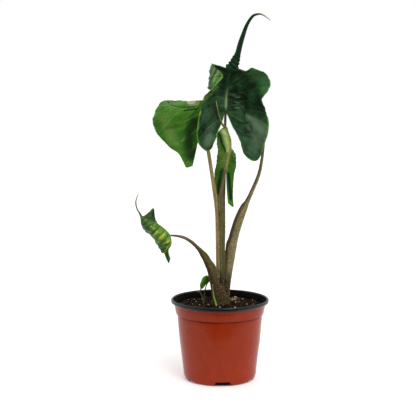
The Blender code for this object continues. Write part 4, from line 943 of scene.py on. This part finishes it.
def hold_in(centre, points, planes):
    """Pulls points back towards the stalk's centre until they are clear of every neighbour and the soil."""
    offset = points - centre
    share = np.ones(points.shape[:-1])
    for origin, normal, top in planes:
        reach = offset @ normal
        room = (origin - centre) @ normal - GAP / 2 - 0.02
        limit = np.maximum(room / np.maximum(reach, 1e-9), 0.05)
        share = np.where((points[..., 2] <= top) & (reach > 1e-9), np.minimum(share, limit), share)
    points = centre + offset * share[..., None]
    flat = (points[..., :2] - CROWN_CENTRE) / CROWN_HALF
    far = np.linalg.norm(flat, axis=-1, keepdims=True)
    held = np.array(CROWN_CENTRE) + flat / np.maximum(far, 1) * CROWN_HALF
    points[..., :2] = np.where(points[..., 2:] < CROWN_TOP, held, points[..., :2])
    return points


def stalk(name, keys, planes, node, cover, wing=0.0):
    """A leaf stalk, held clear of its neighbours: faintly ribbed, dented, its sheath's thin edge frilled."""
    s, spine, ahead = along(keys, STALK_STEP, 2, round)
    centre, (wide, deep, lean, thin) = spine[:, None, :3], spine[:, 3:].T[..., None]
    lean = np.clip(lean, 0, 1)
    normal = unit(np.array((0, 0, 1)) * (1 - lean) + ahead * lean)
    right, depth = turned(normal)
    far = s[:, None]
    turn = 2 * math.pi * np.arange(STALK_SIDES)[None] / STALK_SIDES
    u, v = np.cos(turn), np.sin(turn)
    v = v * (1 + thin * u)
    z = centre[..., 2]
    waves = 0.13 * np.sin((z - 235) / 8.3) + 0.05 * np.sin(z / 2.9)
    frill = np.where((thin < -0.05) & (u > 0.5), waves * smooth(0.5, 0.9, u), 0)
    swell = 1 + frill - 0.03 * (1 - np.sin(turn * 13 + 0.02 * far)) * smooth(0, 20, far)
    points = (centre + right[:, None] * (wide * u * swell)[..., None]
              + depth[:, None] * (deep * v * swell)[..., None])
    points = hold_in(centre, points, planes)
    dent = 0.16 * (soft_noise(points * (1, 1, 2.2), 7, 9) - 1) * smooth(0, 12, far)
    points = points + unit(points - centre) * dent[..., None]
    height = points[..., 2]
    u, far = np.broadcast_to(u, height.shape), np.broadcast_to(far, height.shape)
    marks = {
        "side": smooth(-0.05, -0.7, u), "top": 0.9 * smooth(0.62, 0.95, far / s[-1]),
        "base": 0.97 * (1 - smooth(158, 186, height + 9 * soft_noise(points, 9, 12))),
        "wing": wing * smooth(0.72, 0.95, u * np.sign(-thin + 1e-6)) * smooth(0.12, 0.3, np.abs(thin)),
    }
    steps = np.linalg.norm(points - np.roll(points, 1, axis=1), axis=-1)
    steps[:, 0] = 0
    arc = np.cumsum(steps, axis=1)
    # Each stalk's length also sets where its pattern starts, so that no two look alike.
    uv = np.stack([np.minimum(arc, arc[:, -1:] - arc) + 0.3 * s[-1], far + 3 * s[-1]], -1)
    return piece(name, points, capped_faces(len(s), STALK_SIDES), [cover], [node], marks, uv=uv)


def sprout(name, keys, cover, node, flat=1.0):
    """Tapered shoot along points with radii; flat squeezes it front to back."""
    s, spine, ahead = along(keys, SPROUT_STEP, 1)
    right, depth = turned(ahead)
    turn = 2 * math.pi * np.arange(SPROUT_SIDES) / SPROUT_SIDES
    radius = spine[:, 3:4]
    points = (spine[:, None, :3] + right[:, None] * (radius * np.cos(turn))[..., None]
              + depth[:, None] * (radius * flat * np.sin(turn))[..., None])
    far = np.broadcast_to(s[:, None], points.shape[:2])
    uv = np.stack([np.broadcast_to(np.abs(turn - math.pi) * 2, far.shape), far], -1)
    share = far / s[-1]
    marks = {"side": 0 * share, "wing": 0 * share, "tail": 0 * share, "tip": smooth(0.75, 1.0, share),
             "top": 0.9 * smooth(0.55, 1.0, share), "base": 0.8 * (1 - smooth(0.25, 0.6, share))}
    return piece(name, points, capped_faces(len(s), SPROUT_SIDES), [cover], [node], marks, uv=uv)


# --- pot ------------------------------------------------------------------------------------
def pot_plastic(name, colour, worn, roughness, sheen):
    """Thermoformed polypropylene sheet: satin, a little cloudy where it was drawn, with light dust.

    The mould leaves a fine peel, drawn coarser than it is so that it breaks up the shine.
    """
    made, tree, shader = start_skin(name, 1.49, roughness, sheen)
    place = add(tree, "ShaderNodeTexCoord").outputs["Object"]
    drawn = add(tree, "ShaderNodeMapping", {"Vector": place, "Scale": (1.0, 1.0, 0.4)})
    cloud = patches(tree, drawn, 7, 5.0, 0.36, 0.66)[1]
    dust = patches(tree, place, 34, 6.0, 0.35, 0.7, roughness - 0.05, roughness + 0.12)[1]
    peel = add(tree, "ShaderNodeTexNoise", {"Vector": place, "Scale": per(1.6), "Detail": 2.0})
    bump = add(tree, "ShaderNodeBump", {"Height": peel, "Strength": 0.18, "Distance": 0.0001})
    feed(tree, shader, {"Base Color": painted(tree, linear(colour), [(cloud, worn)]), "Roughness": dust,
                        "Normal": bump})
    return made


def pot_profile():
    """Outline of the wall: from the top of the rolled lip down the outside, then up the inside."""
    inner = POT_WALL
    return [
        (POT_RIM_R - 1.3, POT_HEIGHT), (POT_RIM_R - 0.3, POT_HEIGHT - 1.0), (POT_RIM_R, POT_HEIGHT - 2.9),
        (POT_RIM_R - 0.4, POT_HEIGHT - 5.2), (POT_RIM_R - 2.0, POT_HEIGHT - 6.2),
        (COLLAR_TOP_R + 1.2, POT_HEIGHT - 6.6),
        (COLLAR_TOP_R + 0.2, POT_HEIGHT - 8.4), (COLLAR_TOP_R - 0.6, POT_HEIGHT - 14.0),
        (COLLAR_LOW_R + 0.1, STEP_Z + 1.6), (COLLAR_LOW_R - 0.3, STEP_Z + 0.6),
        (WALL_TOP_R - 0.5, STEP_Z + 0.7), (WALL_TOP_R - 0.6, STEP_Z - 0.1), (WALL_TOP_R, STEP_Z - 1.6),
        (WALL_TOP_R, STEP_Z - 6.0), (WALL_MIDDLE_R, 62.0),
        (WALL_LOW_R, 24.0), (WALL_LOW_R - 1.4, 9.0), (POT_BASE_R + 4.4, 4.6), (POT_BASE_R + 2.7, 1.4),
        (POT_BASE_R, 0.0), (0.0, 0.0),
        (0.0, POT_FLOOR), (POT_BASE_R + 0.4, POT_FLOOR), (POT_BASE_R + 2.8, 4.8),
        (WALL_LOW_R - 1.4 - inner, 9.2),
        (WALL_TOP_R - inner, STEP_Z - 6.0), (COLLAR_LOW_R - inner - 0.9, STEP_Z + 1.2),
        (COLLAR_TOP_R - 0.6 - inner, POT_HEIGHT - 14.0), (COLLAR_TOP_R - inner, POT_HEIGHT - 8.0),
        (POT_RIM_R - 3.9, POT_HEIGHT - 4.0), (POT_RIM_R - 3.6, POT_HEIGHT - 1.2),
        (POT_RIM_R - 2.5, POT_HEIGHT),
    ]


def rounded_profile():
    """The outline with its corners rounded, and for each point whether it is on the black inner sheet."""
    corners = np.array(pot_profile())
    points, black = [], []
    for i, here in enumerate(corners):
        inside = i < LIP_POINTS or i > FLOOR_POINT
        if here[0] == 0:
            points.append(here)
            black.append(inside)
            continue
        back, on = corners[i - 1] - here, corners[(i + 1) % len(corners)] - here
        start = here + unit(back) * min(CORNER_ROUNDING, CORNER_SHARE * np.linalg.norm(back))
        end = here + unit(on) * min(CORNER_ROUNDING, CORNER_SHARE * np.linalg.norm(on))
        for t in (0.0, 0.25, 0.5, 0.75, 1.0):
            points.append(start * (1 - t) ** 2 + here * 2 * t * (1 - t) + end * t**2)
            black.append(inside)
    return np.array(points), np.array(black)


def notch_cutters(skins):
    """Wedge blocks that open the pot's bottom corner, wider at the foot; every third one is full size."""
    made = []
    for i in range(NOTCHES):
        high, narrower = (NOTCH_HIGH, 0.0) if i % 3 == 0 else (NOTCH_HIGH * 0.5, NOTCH_NARROWER)
        bm = bmesh.new()
        bmesh.ops.create_cube(bm, size=2.0)
        for v in bm.verts:
            top = v.co.z > 0
            half = (NOTCH_TOP_W if top else NOTCH_LOW_W - narrower) / 2 - narrower / 4
            out = NOTCH_MIDDLE_R + NOTCH_HALF_DEPTH * v.co.x
            v.co = Vector((out, half * v.co.y, high if top else NOTCH_FOOT)) * MM
        turn = math.radians(-90 + NOTCH_TURN + 360 / NOTCHES * i)
        bmesh.ops.rotate(bm, verts=bm.verts, cent=(0, 0, 0), matrix=Matrix.Rotation(turn, 3, "Z"))
        mesh = meshed("notch_cut", bm)
        for one in skins:
            mesh.materials.append(one)
        mesh.polygons.foreach_set("material_index", [INSIDE] * len(mesh.polygons))
        made.append(placed("notch_cut", mesh))
    return made


def pot():
    """Nursery pot: its outline turned round the axis, terracotta outside, black inside, with cut notches."""
    terracotta = pot_plastic("terracotta_polypropylene", "#8a2806", "#902c08", 0.20, 0.18)
    black = pot_plastic("black_polypropylene", "#040506", "#08090b", 0.28, 0.32)
    # The wall inside below the lip gets a duller, slightly darker copy of the black: dust, and painted shade
    # inside the pot.
    dust_and_shade = pot_plastic("black_polypropylene_dust_and_shade", "#030303", "#080706", 0.7, 0.05)
    outline, inner = rounded_profile()
    rows = len(outline)
    turn = 2 * math.pi * np.arange(POT_STEPS) / POT_STEPS
    points = np.stack([outline[:, :1] * np.cos(turn), outline[:, :1] * np.sin(turn),
                       np.broadcast_to(outline[:, 1:], (rows, POT_STEPS))], -1)
    # One ring more than there is: its numbers go back to the first ring, which closes the wall.
    faces = grid_faces(rows + 1, POT_STEPS, closed=True)
    faces = [tuple(reversed([v % (rows * POT_STEPS) for v in face])) for face in faces]
    below_lip = (outline[:, 1] < POT_HEIGHT - 2.6) & (np.arange(rows) > rows // 2)
    kinds = np.where(inner | np.roll(inner, -1), np.where(below_lip, DUST_AND_SHADE_INSIDE, INSIDE), OUTSIDE)
    made = piece("nursery_pot", points, faces, [terracotta, black, dust_and_shade], ["pot"],
                 face_skins=np.repeat(kinds, POT_STEPS))
    weld(made.data, outwards=True)
    cutters = notch_cutters([terracotta, black])
    for cutter in cutters:
        cut = made.modifiers.new("notch", "BOOLEAN")
        cut.operation = "DIFFERENCE"
        cut.solver = "EXACT"
        cut.object = cutter
    bpy.context.view_layer.update()
    done = bpy.data.meshes.new_from_object(made.evaluated_get(bpy.context.evaluated_depsgraph_get()))
    made.modifiers.clear()
    made.data = done
    done.set_sharp_from_angle(angle=math.radians(40))
    for cutter in cutters:
        bpy.data.objects.remove(cutter, do_unlink=True)
    return made


# --- potting mix -------------------------------------------------------------------------------
def mix_skin(name, dark, light, size_mm):
    """Damp peat, bark, grit or fibre: matt, in grains of two tones, and too rough to hold a shine."""
    made, tree, shader = start_skin(name, 1.4, 0.92, 0.15)
    place = add(tree, "ShaderNodeTexCoord").outputs["Object"]
    grain, spread = patches(tree, place, size_mm, 8.0, 0.4, 0.72, Roughness=0.7)
    bump = add(tree, "ShaderNodeBump", {"Height": grain, "Strength": 0.9, "Distance": 0.0008})
    feed(tree, shader, {"Base Color": painted(tree, linear(dark), [(spread, light)]), "Normal": bump})
    return made


def soil_height(x, y):
    """Low mound towards the crown with coarse lumps."""
    r = np.hypot(x, y) / SOIL_EDGE_R
    lumps = (np.sin(0.31 * x + 1.3) * np.sin(0.27 * y + 0.4) + 0.7 * np.sin(0.53 * x - 0.41 * y + 2.0)
             + 0.5 * np.sin(0.83 * y + 0.37 * x))
    return SOIL_TOP + SOIL_MOUND * (1 - r * r) + 0.75 * lumps * (1 - 0.4 * r)


def soil_block(cover):
    """Soil body: the fine crumbly top over the plain block that fills the pot."""
    turn = 2 * math.pi * np.arange(SOIL_STEPS) / SOIL_STEPS
    share = np.linspace(0.995, 0.002, SOIL_RINGS)[:, None]
    x, y = SOIL_EDGE_R * share * np.cos(turn), SOIL_EDGE_R * share * np.sin(turn)
    flat = np.stack([x, y, 0 * x], -1)
    crumbs = 0.9 * np.abs(soft_noise(flat, 21, 7)) + 0.45 * soft_noise(flat, 22, 2.6) - 0.5
    top = np.stack([x, y, soil_height(x, y) + crumbs], -1)
    loose = POT_WALL + GAP + 0.25
    under = [(POT_BASE_R - 0.4, POT_FLOOR + GAP), (WALL_LOW_R - 3.6, 9.0), (WALL_LOW_R - 1.9 - GAP, 24.0),
             (WALL_TOP_R - loose, STEP_Z - 6.0), (WALL_TOP_R - loose, STEP_Z),
             (COLLAR_LOW_R - POT_WALL - 1.4, STEP_Z + 2.6), (SOIL_EDGE_R, SOIL_TOP - 2.4)]
    sides = [np.stack([r * np.cos(turn), r * np.sin(turn), np.full(SOIL_STEPS, h)], -1) for r, h in under]
    points = np.concatenate([np.array(sides), top])
    faces = capped_faces(len(points), SOIL_STEPS)
    return piece("potting_mix", points, faces, [cover], ["soil"])


def scattered(count, seed, far=0.97):
    """Seeded places on the soil, clear of the stalks: x, y."""
    rng = np.random.default_rng(seed)
    places = []
    while len(places) < count:
        r, turn = far * SOIL_EDGE_R * math.sqrt(rng.uniform()), rng.uniform(0, 2 * math.pi)
        x, y = r * math.cos(turn), r * math.sin(turn)
        if math.hypot((x - CROWN_CENTRE[0]) / CROWN_HALF[0], (y - CROWN_CENTRE[1]) / CROWN_HALF[1]) > 1:
            places.append((x, y))
    return places


def bits(name, places, seed, size, shape, sunk, cover, level=1):
    """Small lumps joined in one mesh: rough rounded stones or chips, each turned its own way."""
    rng = np.random.default_rng(seed)
    bm = bmesh.new()
    for x, y in places:
        big = rng.uniform(*size)
        half = Vector([big * rng.uniform(*span) for span in shape])
        lump = bmesh.ops.create_icosphere(bm, subdivisions=level, radius=1.0)["verts"]
        turn = Matrix.Rotation(rng.uniform(*ANY_WAY), 3, "Z") @ Matrix.Rotation(rng.normal(0, 0.45), 3, "X")
        at = Vector((x, y, float(soil_height(x, y)) + half.z * (1 - 2 * sunk) + 0.3))
        for v in lump:
            rough = 1 + rng.uniform(-0.28, 0.28)
            v.co = (turn @ Vector([c * h * rough for c, h in zip(v.co, half)]) + at) * MM
    mesh = meshed(name, bm)
    mesh.materials.append(cover)
    made = placed(name, mesh)
    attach(made, "root")
    return made


def fibres(name, count, seed, cover):
    """Root and coir fibres lying in short curves on the mix."""
    rng = np.random.default_rng(seed)
    points, faces = [], []
    steps = FIBRE_POINTS - 1
    for x, y in scattered(count, seed, 0.9):
        long, turn, bend = rng.uniform(5, 16), rng.uniform(*ANY_WAY), rng.uniform(-1.6, 1.6)
        thick, rise = rng.uniform(0.16, 0.4), rng.uniform(0.4, 2.2)
        faces += capped_faces(FIBRE_POINTS, FIBRE_SIDES, first=len(points))
        for i in range(FIBRE_POINTS):
            way = turn + bend * i / steps
            x += long / steps * math.cos(way)
            y += long / steps * math.sin(way)
            inward = min(1, SOIL_EDGE_R * 0.97 / math.hypot(x, y))
            x, y = x * inward, y * inward
            z = float(soil_height(x, y)) + 0.3 + rise * math.sin(math.pi * i / steps)
            for j in range(FIBRE_SIDES):
                side = 2 * math.pi * j / FIBRE_SIDES
                out = thick * math.cos(side)
                points.append((x - out * math.sin(way), y + out * math.cos(way), z + thick * math.sin(side)))
    return piece(name, points, faces, [cover])


# --- camera, floor and light ---------------------------------------------------------------------
def camera():
    """Long lens from the display side, tilted a little down."""
    data = bpy.data.cameras.new("camera")
    data.sensor_width = SENSOR_MM
    data.lens = FOCAL_PIXELS / FRAME_PIXELS * SENSOR_MM
    data.clip_start = NEAREST_SEEN
    made = placed("camera", data)
    made.location = CAMERA_AT
    made.rotation_euler = (math.radians(90 - CAMERA_DOWN), 0, 0)
    bpy.context.scene.camera = made


def lamp(name, kind, at, aim, power, **settings):
    """A light at a place, turned to a point."""
    data = bpy.data.lights.new(name, kind)
    data.energy = power
    for key, value in settings.items():
        setattr(data, key, value)
    made = placed(name, data)
    made.location = at
    made.rotation_euler = (Vector(aim) - Vector(at)).to_track_quat("-Z", "Y").to_euler()


def white_floor():
    """White laminate sheet whose front edge lies just outside the frame.

    Its faint pink tint is painted bounce light from the red pot. Pressed and matt, it shows only soft
    shadows, and it glows a little, as a lit table does.
    """
    bm = bmesh.new()
    bmesh.ops.create_grid(bm, x_segments=1, y_segments=1, size=1.0)
    for v in bm.verts:
        v.co = Vector((v.co.x * FLOOR_HALF, FLOOR_FRONT + FLOOR_HALF + v.co.y * FLOOR_HALF, -FLOOR_DROP))
    made, tree, shader = start_skin("white_matt_laminate", 1.45, 0.6, 0.25)
    feed(tree, shader, {"Base Color": linear("#f3eeee"), "Emission Color": linear("#ffffff"),
                        "Emission Strength": 0.22})
    floor = placed("white_floor", meshed("white_floor", bm))
    floor.data.materials.append(made)


def studio_world():
    """White room that is dim in front; the camera itself sees plain white."""
    world = bpy.data.worlds.new("studio")
    world.use_nodes = True
    tree = world.node_tree
    tree.nodes.clear()
    way = add(tree, "ShaderNodeTexCoord").outputs["Generated"]
    _, back, up = add(tree, "ShaderNodeSeparateXYZ", {"Vector": way}).outputs
    front = add(tree, "ShaderNodeMapRange", {"Value": back, "From Min": -0.85, "From Max": -0.45})
    above = add(tree, "ShaderNodeMapRange", {"Value": up, "From Min": 0.45, "From Max": 0.95})
    most = add(tree, "ShaderNodeMath", {0: front, 1: above}, operation="MAXIMUM")
    room = add(tree, "ShaderNodeMapRange", {"Value": most, "To Min": 0.06, "To Max": 0.95})
    seen = add(tree, "ShaderNodeLightPath").outputs["Is Camera Ray"]
    strength = add(tree, "ShaderNodeMix", {"Factor": seen, "A": room, "B": 1.0}, data_type="FLOAT")
    ground = add(tree, "ShaderNodeBackground", {"Color": linear("#ffffff"), "Strength": strength})
    add(tree, "ShaderNodeOutputWorld", {"Surface": ground})
    bpy.context.scene.world = world


camera()
studio_world()
white_floor()
lamp("key_sun", "SUN", (0.62, -1.35, 1.25), (0, 0, 0), 1.48, angle=math.radians(34))
lamp("front_top_soft", "AREA", (0.1, -1.0, 1.9), (0, 0, 0.42), 5, shape="RECTANGLE", size=1.0, size_y=0.6)
bpy.context.scene.view_settings.view_transform = "Standard"

# --- the plant ---------------------------------------------------------------------------------
# Dark upper skin: almost black green with a grey bloom, which is partly painted sheen. Its underside: pale,
# with veins that stand out.
dark_upper = leaf_skin("leaf_cuticle_dark", deep="#123016", light="#264b2b", vein="#90b06c", rim="#62a833",
                       tail="#19341c", roughness=0.36, pale="#6a8064", sheen=0.12)
pale_under = leaf_skin("leaf_underside_pale", deep="#3f6a2c", light="#689446", vein="#9ab878", rim="#5d9434",
                       tail="#35592a", roughness=0.48, shade="#22401c", pale="#9ab87a", hidden_face=True,
                       veins=2.4)
# The left and middle leaves turn their undersides to the display side: brighter than above, and less waxy.
mid_under = leaf_skin("leaf_underside_green", deep="#336a18", light="#4b8023", vein="#85a653", rim="#4a8a20",
                      tail="#646c34", roughness=0.45, shade="#0d2d05", fresh_and_lit="#b4c678", sheen=0.16)
mid_upper = leaf_skin("leaf_cuticle_green", deep="#173c12", light="#28581c", vein="#5c8a3e", rim="#3f7f22",
                      tail="#3d6a2a", roughness=0.34, hidden_face=True)
# Young skins are thinner and yellower, with less wax.
young_skin = leaf_skin("leaf_cuticle_young", deep="#30611c", light="#4d7d26", vein="#98aa44", rim="#4f8a2a",
                       tail="#3f6a34", tip="#a88a72", roughness=0.42, shade="#102e15", fresh_and_lit="#8fb53a")
sprout_skin = leaf_skin("leaf_cuticle_sprout", deep="#2e6206", light="#4c8008", vein="#6a9820", rim="#2a5c12",
                        tail="#2f4a14", tip="#24300f", roughness=0.4, sheen=0.12)

leaf("top_leaf_blade", TOP_LEAF, "leaf_top", dark_upper, pale_under)
leaf("left_leaf_blade", LEFT_LEAF, "leaf_left", mid_upper, mid_under)
leaf("middle_leaf_blade", MIDDLE_LEAF, "leaf_middle", mid_upper, mid_under)
leaf("rear_leaf_blade", REAR_LEAF, "leaf_rear", mid_upper, mid_under)
leaf("young_leaf_blade", YOUNG_LEAF, "leaf_young", young_skin, young_skin)
leaf("sprout_leaf_blade", SPROUT_LEAF, "sprout_leaf", sprout_skin, sprout_skin)

tan_skin = stalk_skin("stalk_skin_tan", pale="#ae9862", brown="#867450", side="#9a8a5a", top="#a89c60",
                      moss="#84804e")
olive_skin = stalk_skin("stalk_skin_olive", pale="#626238", brown="#444626", side="#7a6e46", top="#6a5e48",
                        moss="#465030")
rear_skin = stalk_skin("stalk_skin_rear", pale="#9e9066", brown="#746846", side="#4c3a32", top="#5e5a38",
                       moss="#6e7446")
young_stalk_skin = stalk_skin("stalk_skin_young", pale="#665830", brown="#42381c", side="#382c18",
                              top="#786650", moss="#505022")
planes = pressed_planes()
stalk("left_leaf_stalk", LEFT_STALK, planes["left"], "stalk_left_leaf", tan_skin)
stalk("top_leaf_stalk", TOP_STALK, planes["top"], "stalk_top_leaf", olive_skin)
stalk("middle_leaf_stalk", MIDDLE_STALK, planes["middle"], "stalk_middle_leaf", olive_skin, 0.6)
stalk("rear_leaf_stalk", REAR_STALK, planes["rear"], "stalk_rear_leaf", rear_skin, 0.6)
stalk("young_leaf_stalk", YOUNG_STALK, planes["young"], "stalk_young_leaf", young_stalk_skin,
      0.9)

sprout("sprout_stem_fine", SPROUT_STEM, young_stalk_skin, "sprout_stem")
sprout("curled_sprout_fine", CURLED_SPROUT, olive_skin, "curled_sprout")
spike_skin = leaf_skin("new_shoot", deep="#6f9c3c", light="#8fb858", vein="#a8c070", rim="#7aa648",
                       tail="#6f9c3c", tip="#7d8a48", roughness=0.4)
sprout("green_spike_fine", GREEN_SPIKE, spike_skin, "green_spike", flat=0.6)

pot()
# Damp milled peat is nearly black and swallows light; composted bark shows torn brown faces among it.
soil_block(mix_skin("peat_mix", "#040201", "#1c120b", 3.0))
bits("bark_chips", scattered(620, 31), 32, (0.9, 3.2), ((0.7, 1.3), (0.3, 0.8), (0.2, 0.5)), 0.35,
     mix_skin("composted_bark", "#140c07", "#54391f", 5.0))
bits("peat_crumbs", scattered(900, 41), 42, (0.5, 1.5), ((0.7, 1.2), (0.6, 1.1), (0.6, 1.0)), 0.3,
     mix_skin("peat_crumb", "#0a0604", "#24170e", 2.0))
# Perlite, popped from volcanic glass, is chalk white, here greyed by the damp; dry bark bleaches to cream.
bits("perlite", scattered(38, 51) + PERLITE_BEHIND, 52, (0.6, 1.3), ((0.8, 1.2), (0.7, 1.1), (0.6, 1.0)),
     0.25, mix_skin("perlite", "#a39b8c", "#d8d2c4", 2.0), 2)
bits("bark_light", CREAM_BARK, 72, (1.6, 4.0), ((0.6, 1.4), (0.3, 0.7), (0.25, 0.5)), 0.1,
     mix_skin("weathered_bark", "#6e5638", "#dcc69c", 2.0))
# Coir gives thin, wiry, warm brown strands.
fibres("root_fibres", 110, 61, mix_skin("coir_fibre", "#2c1d12", "#6a4c30", 4.0))
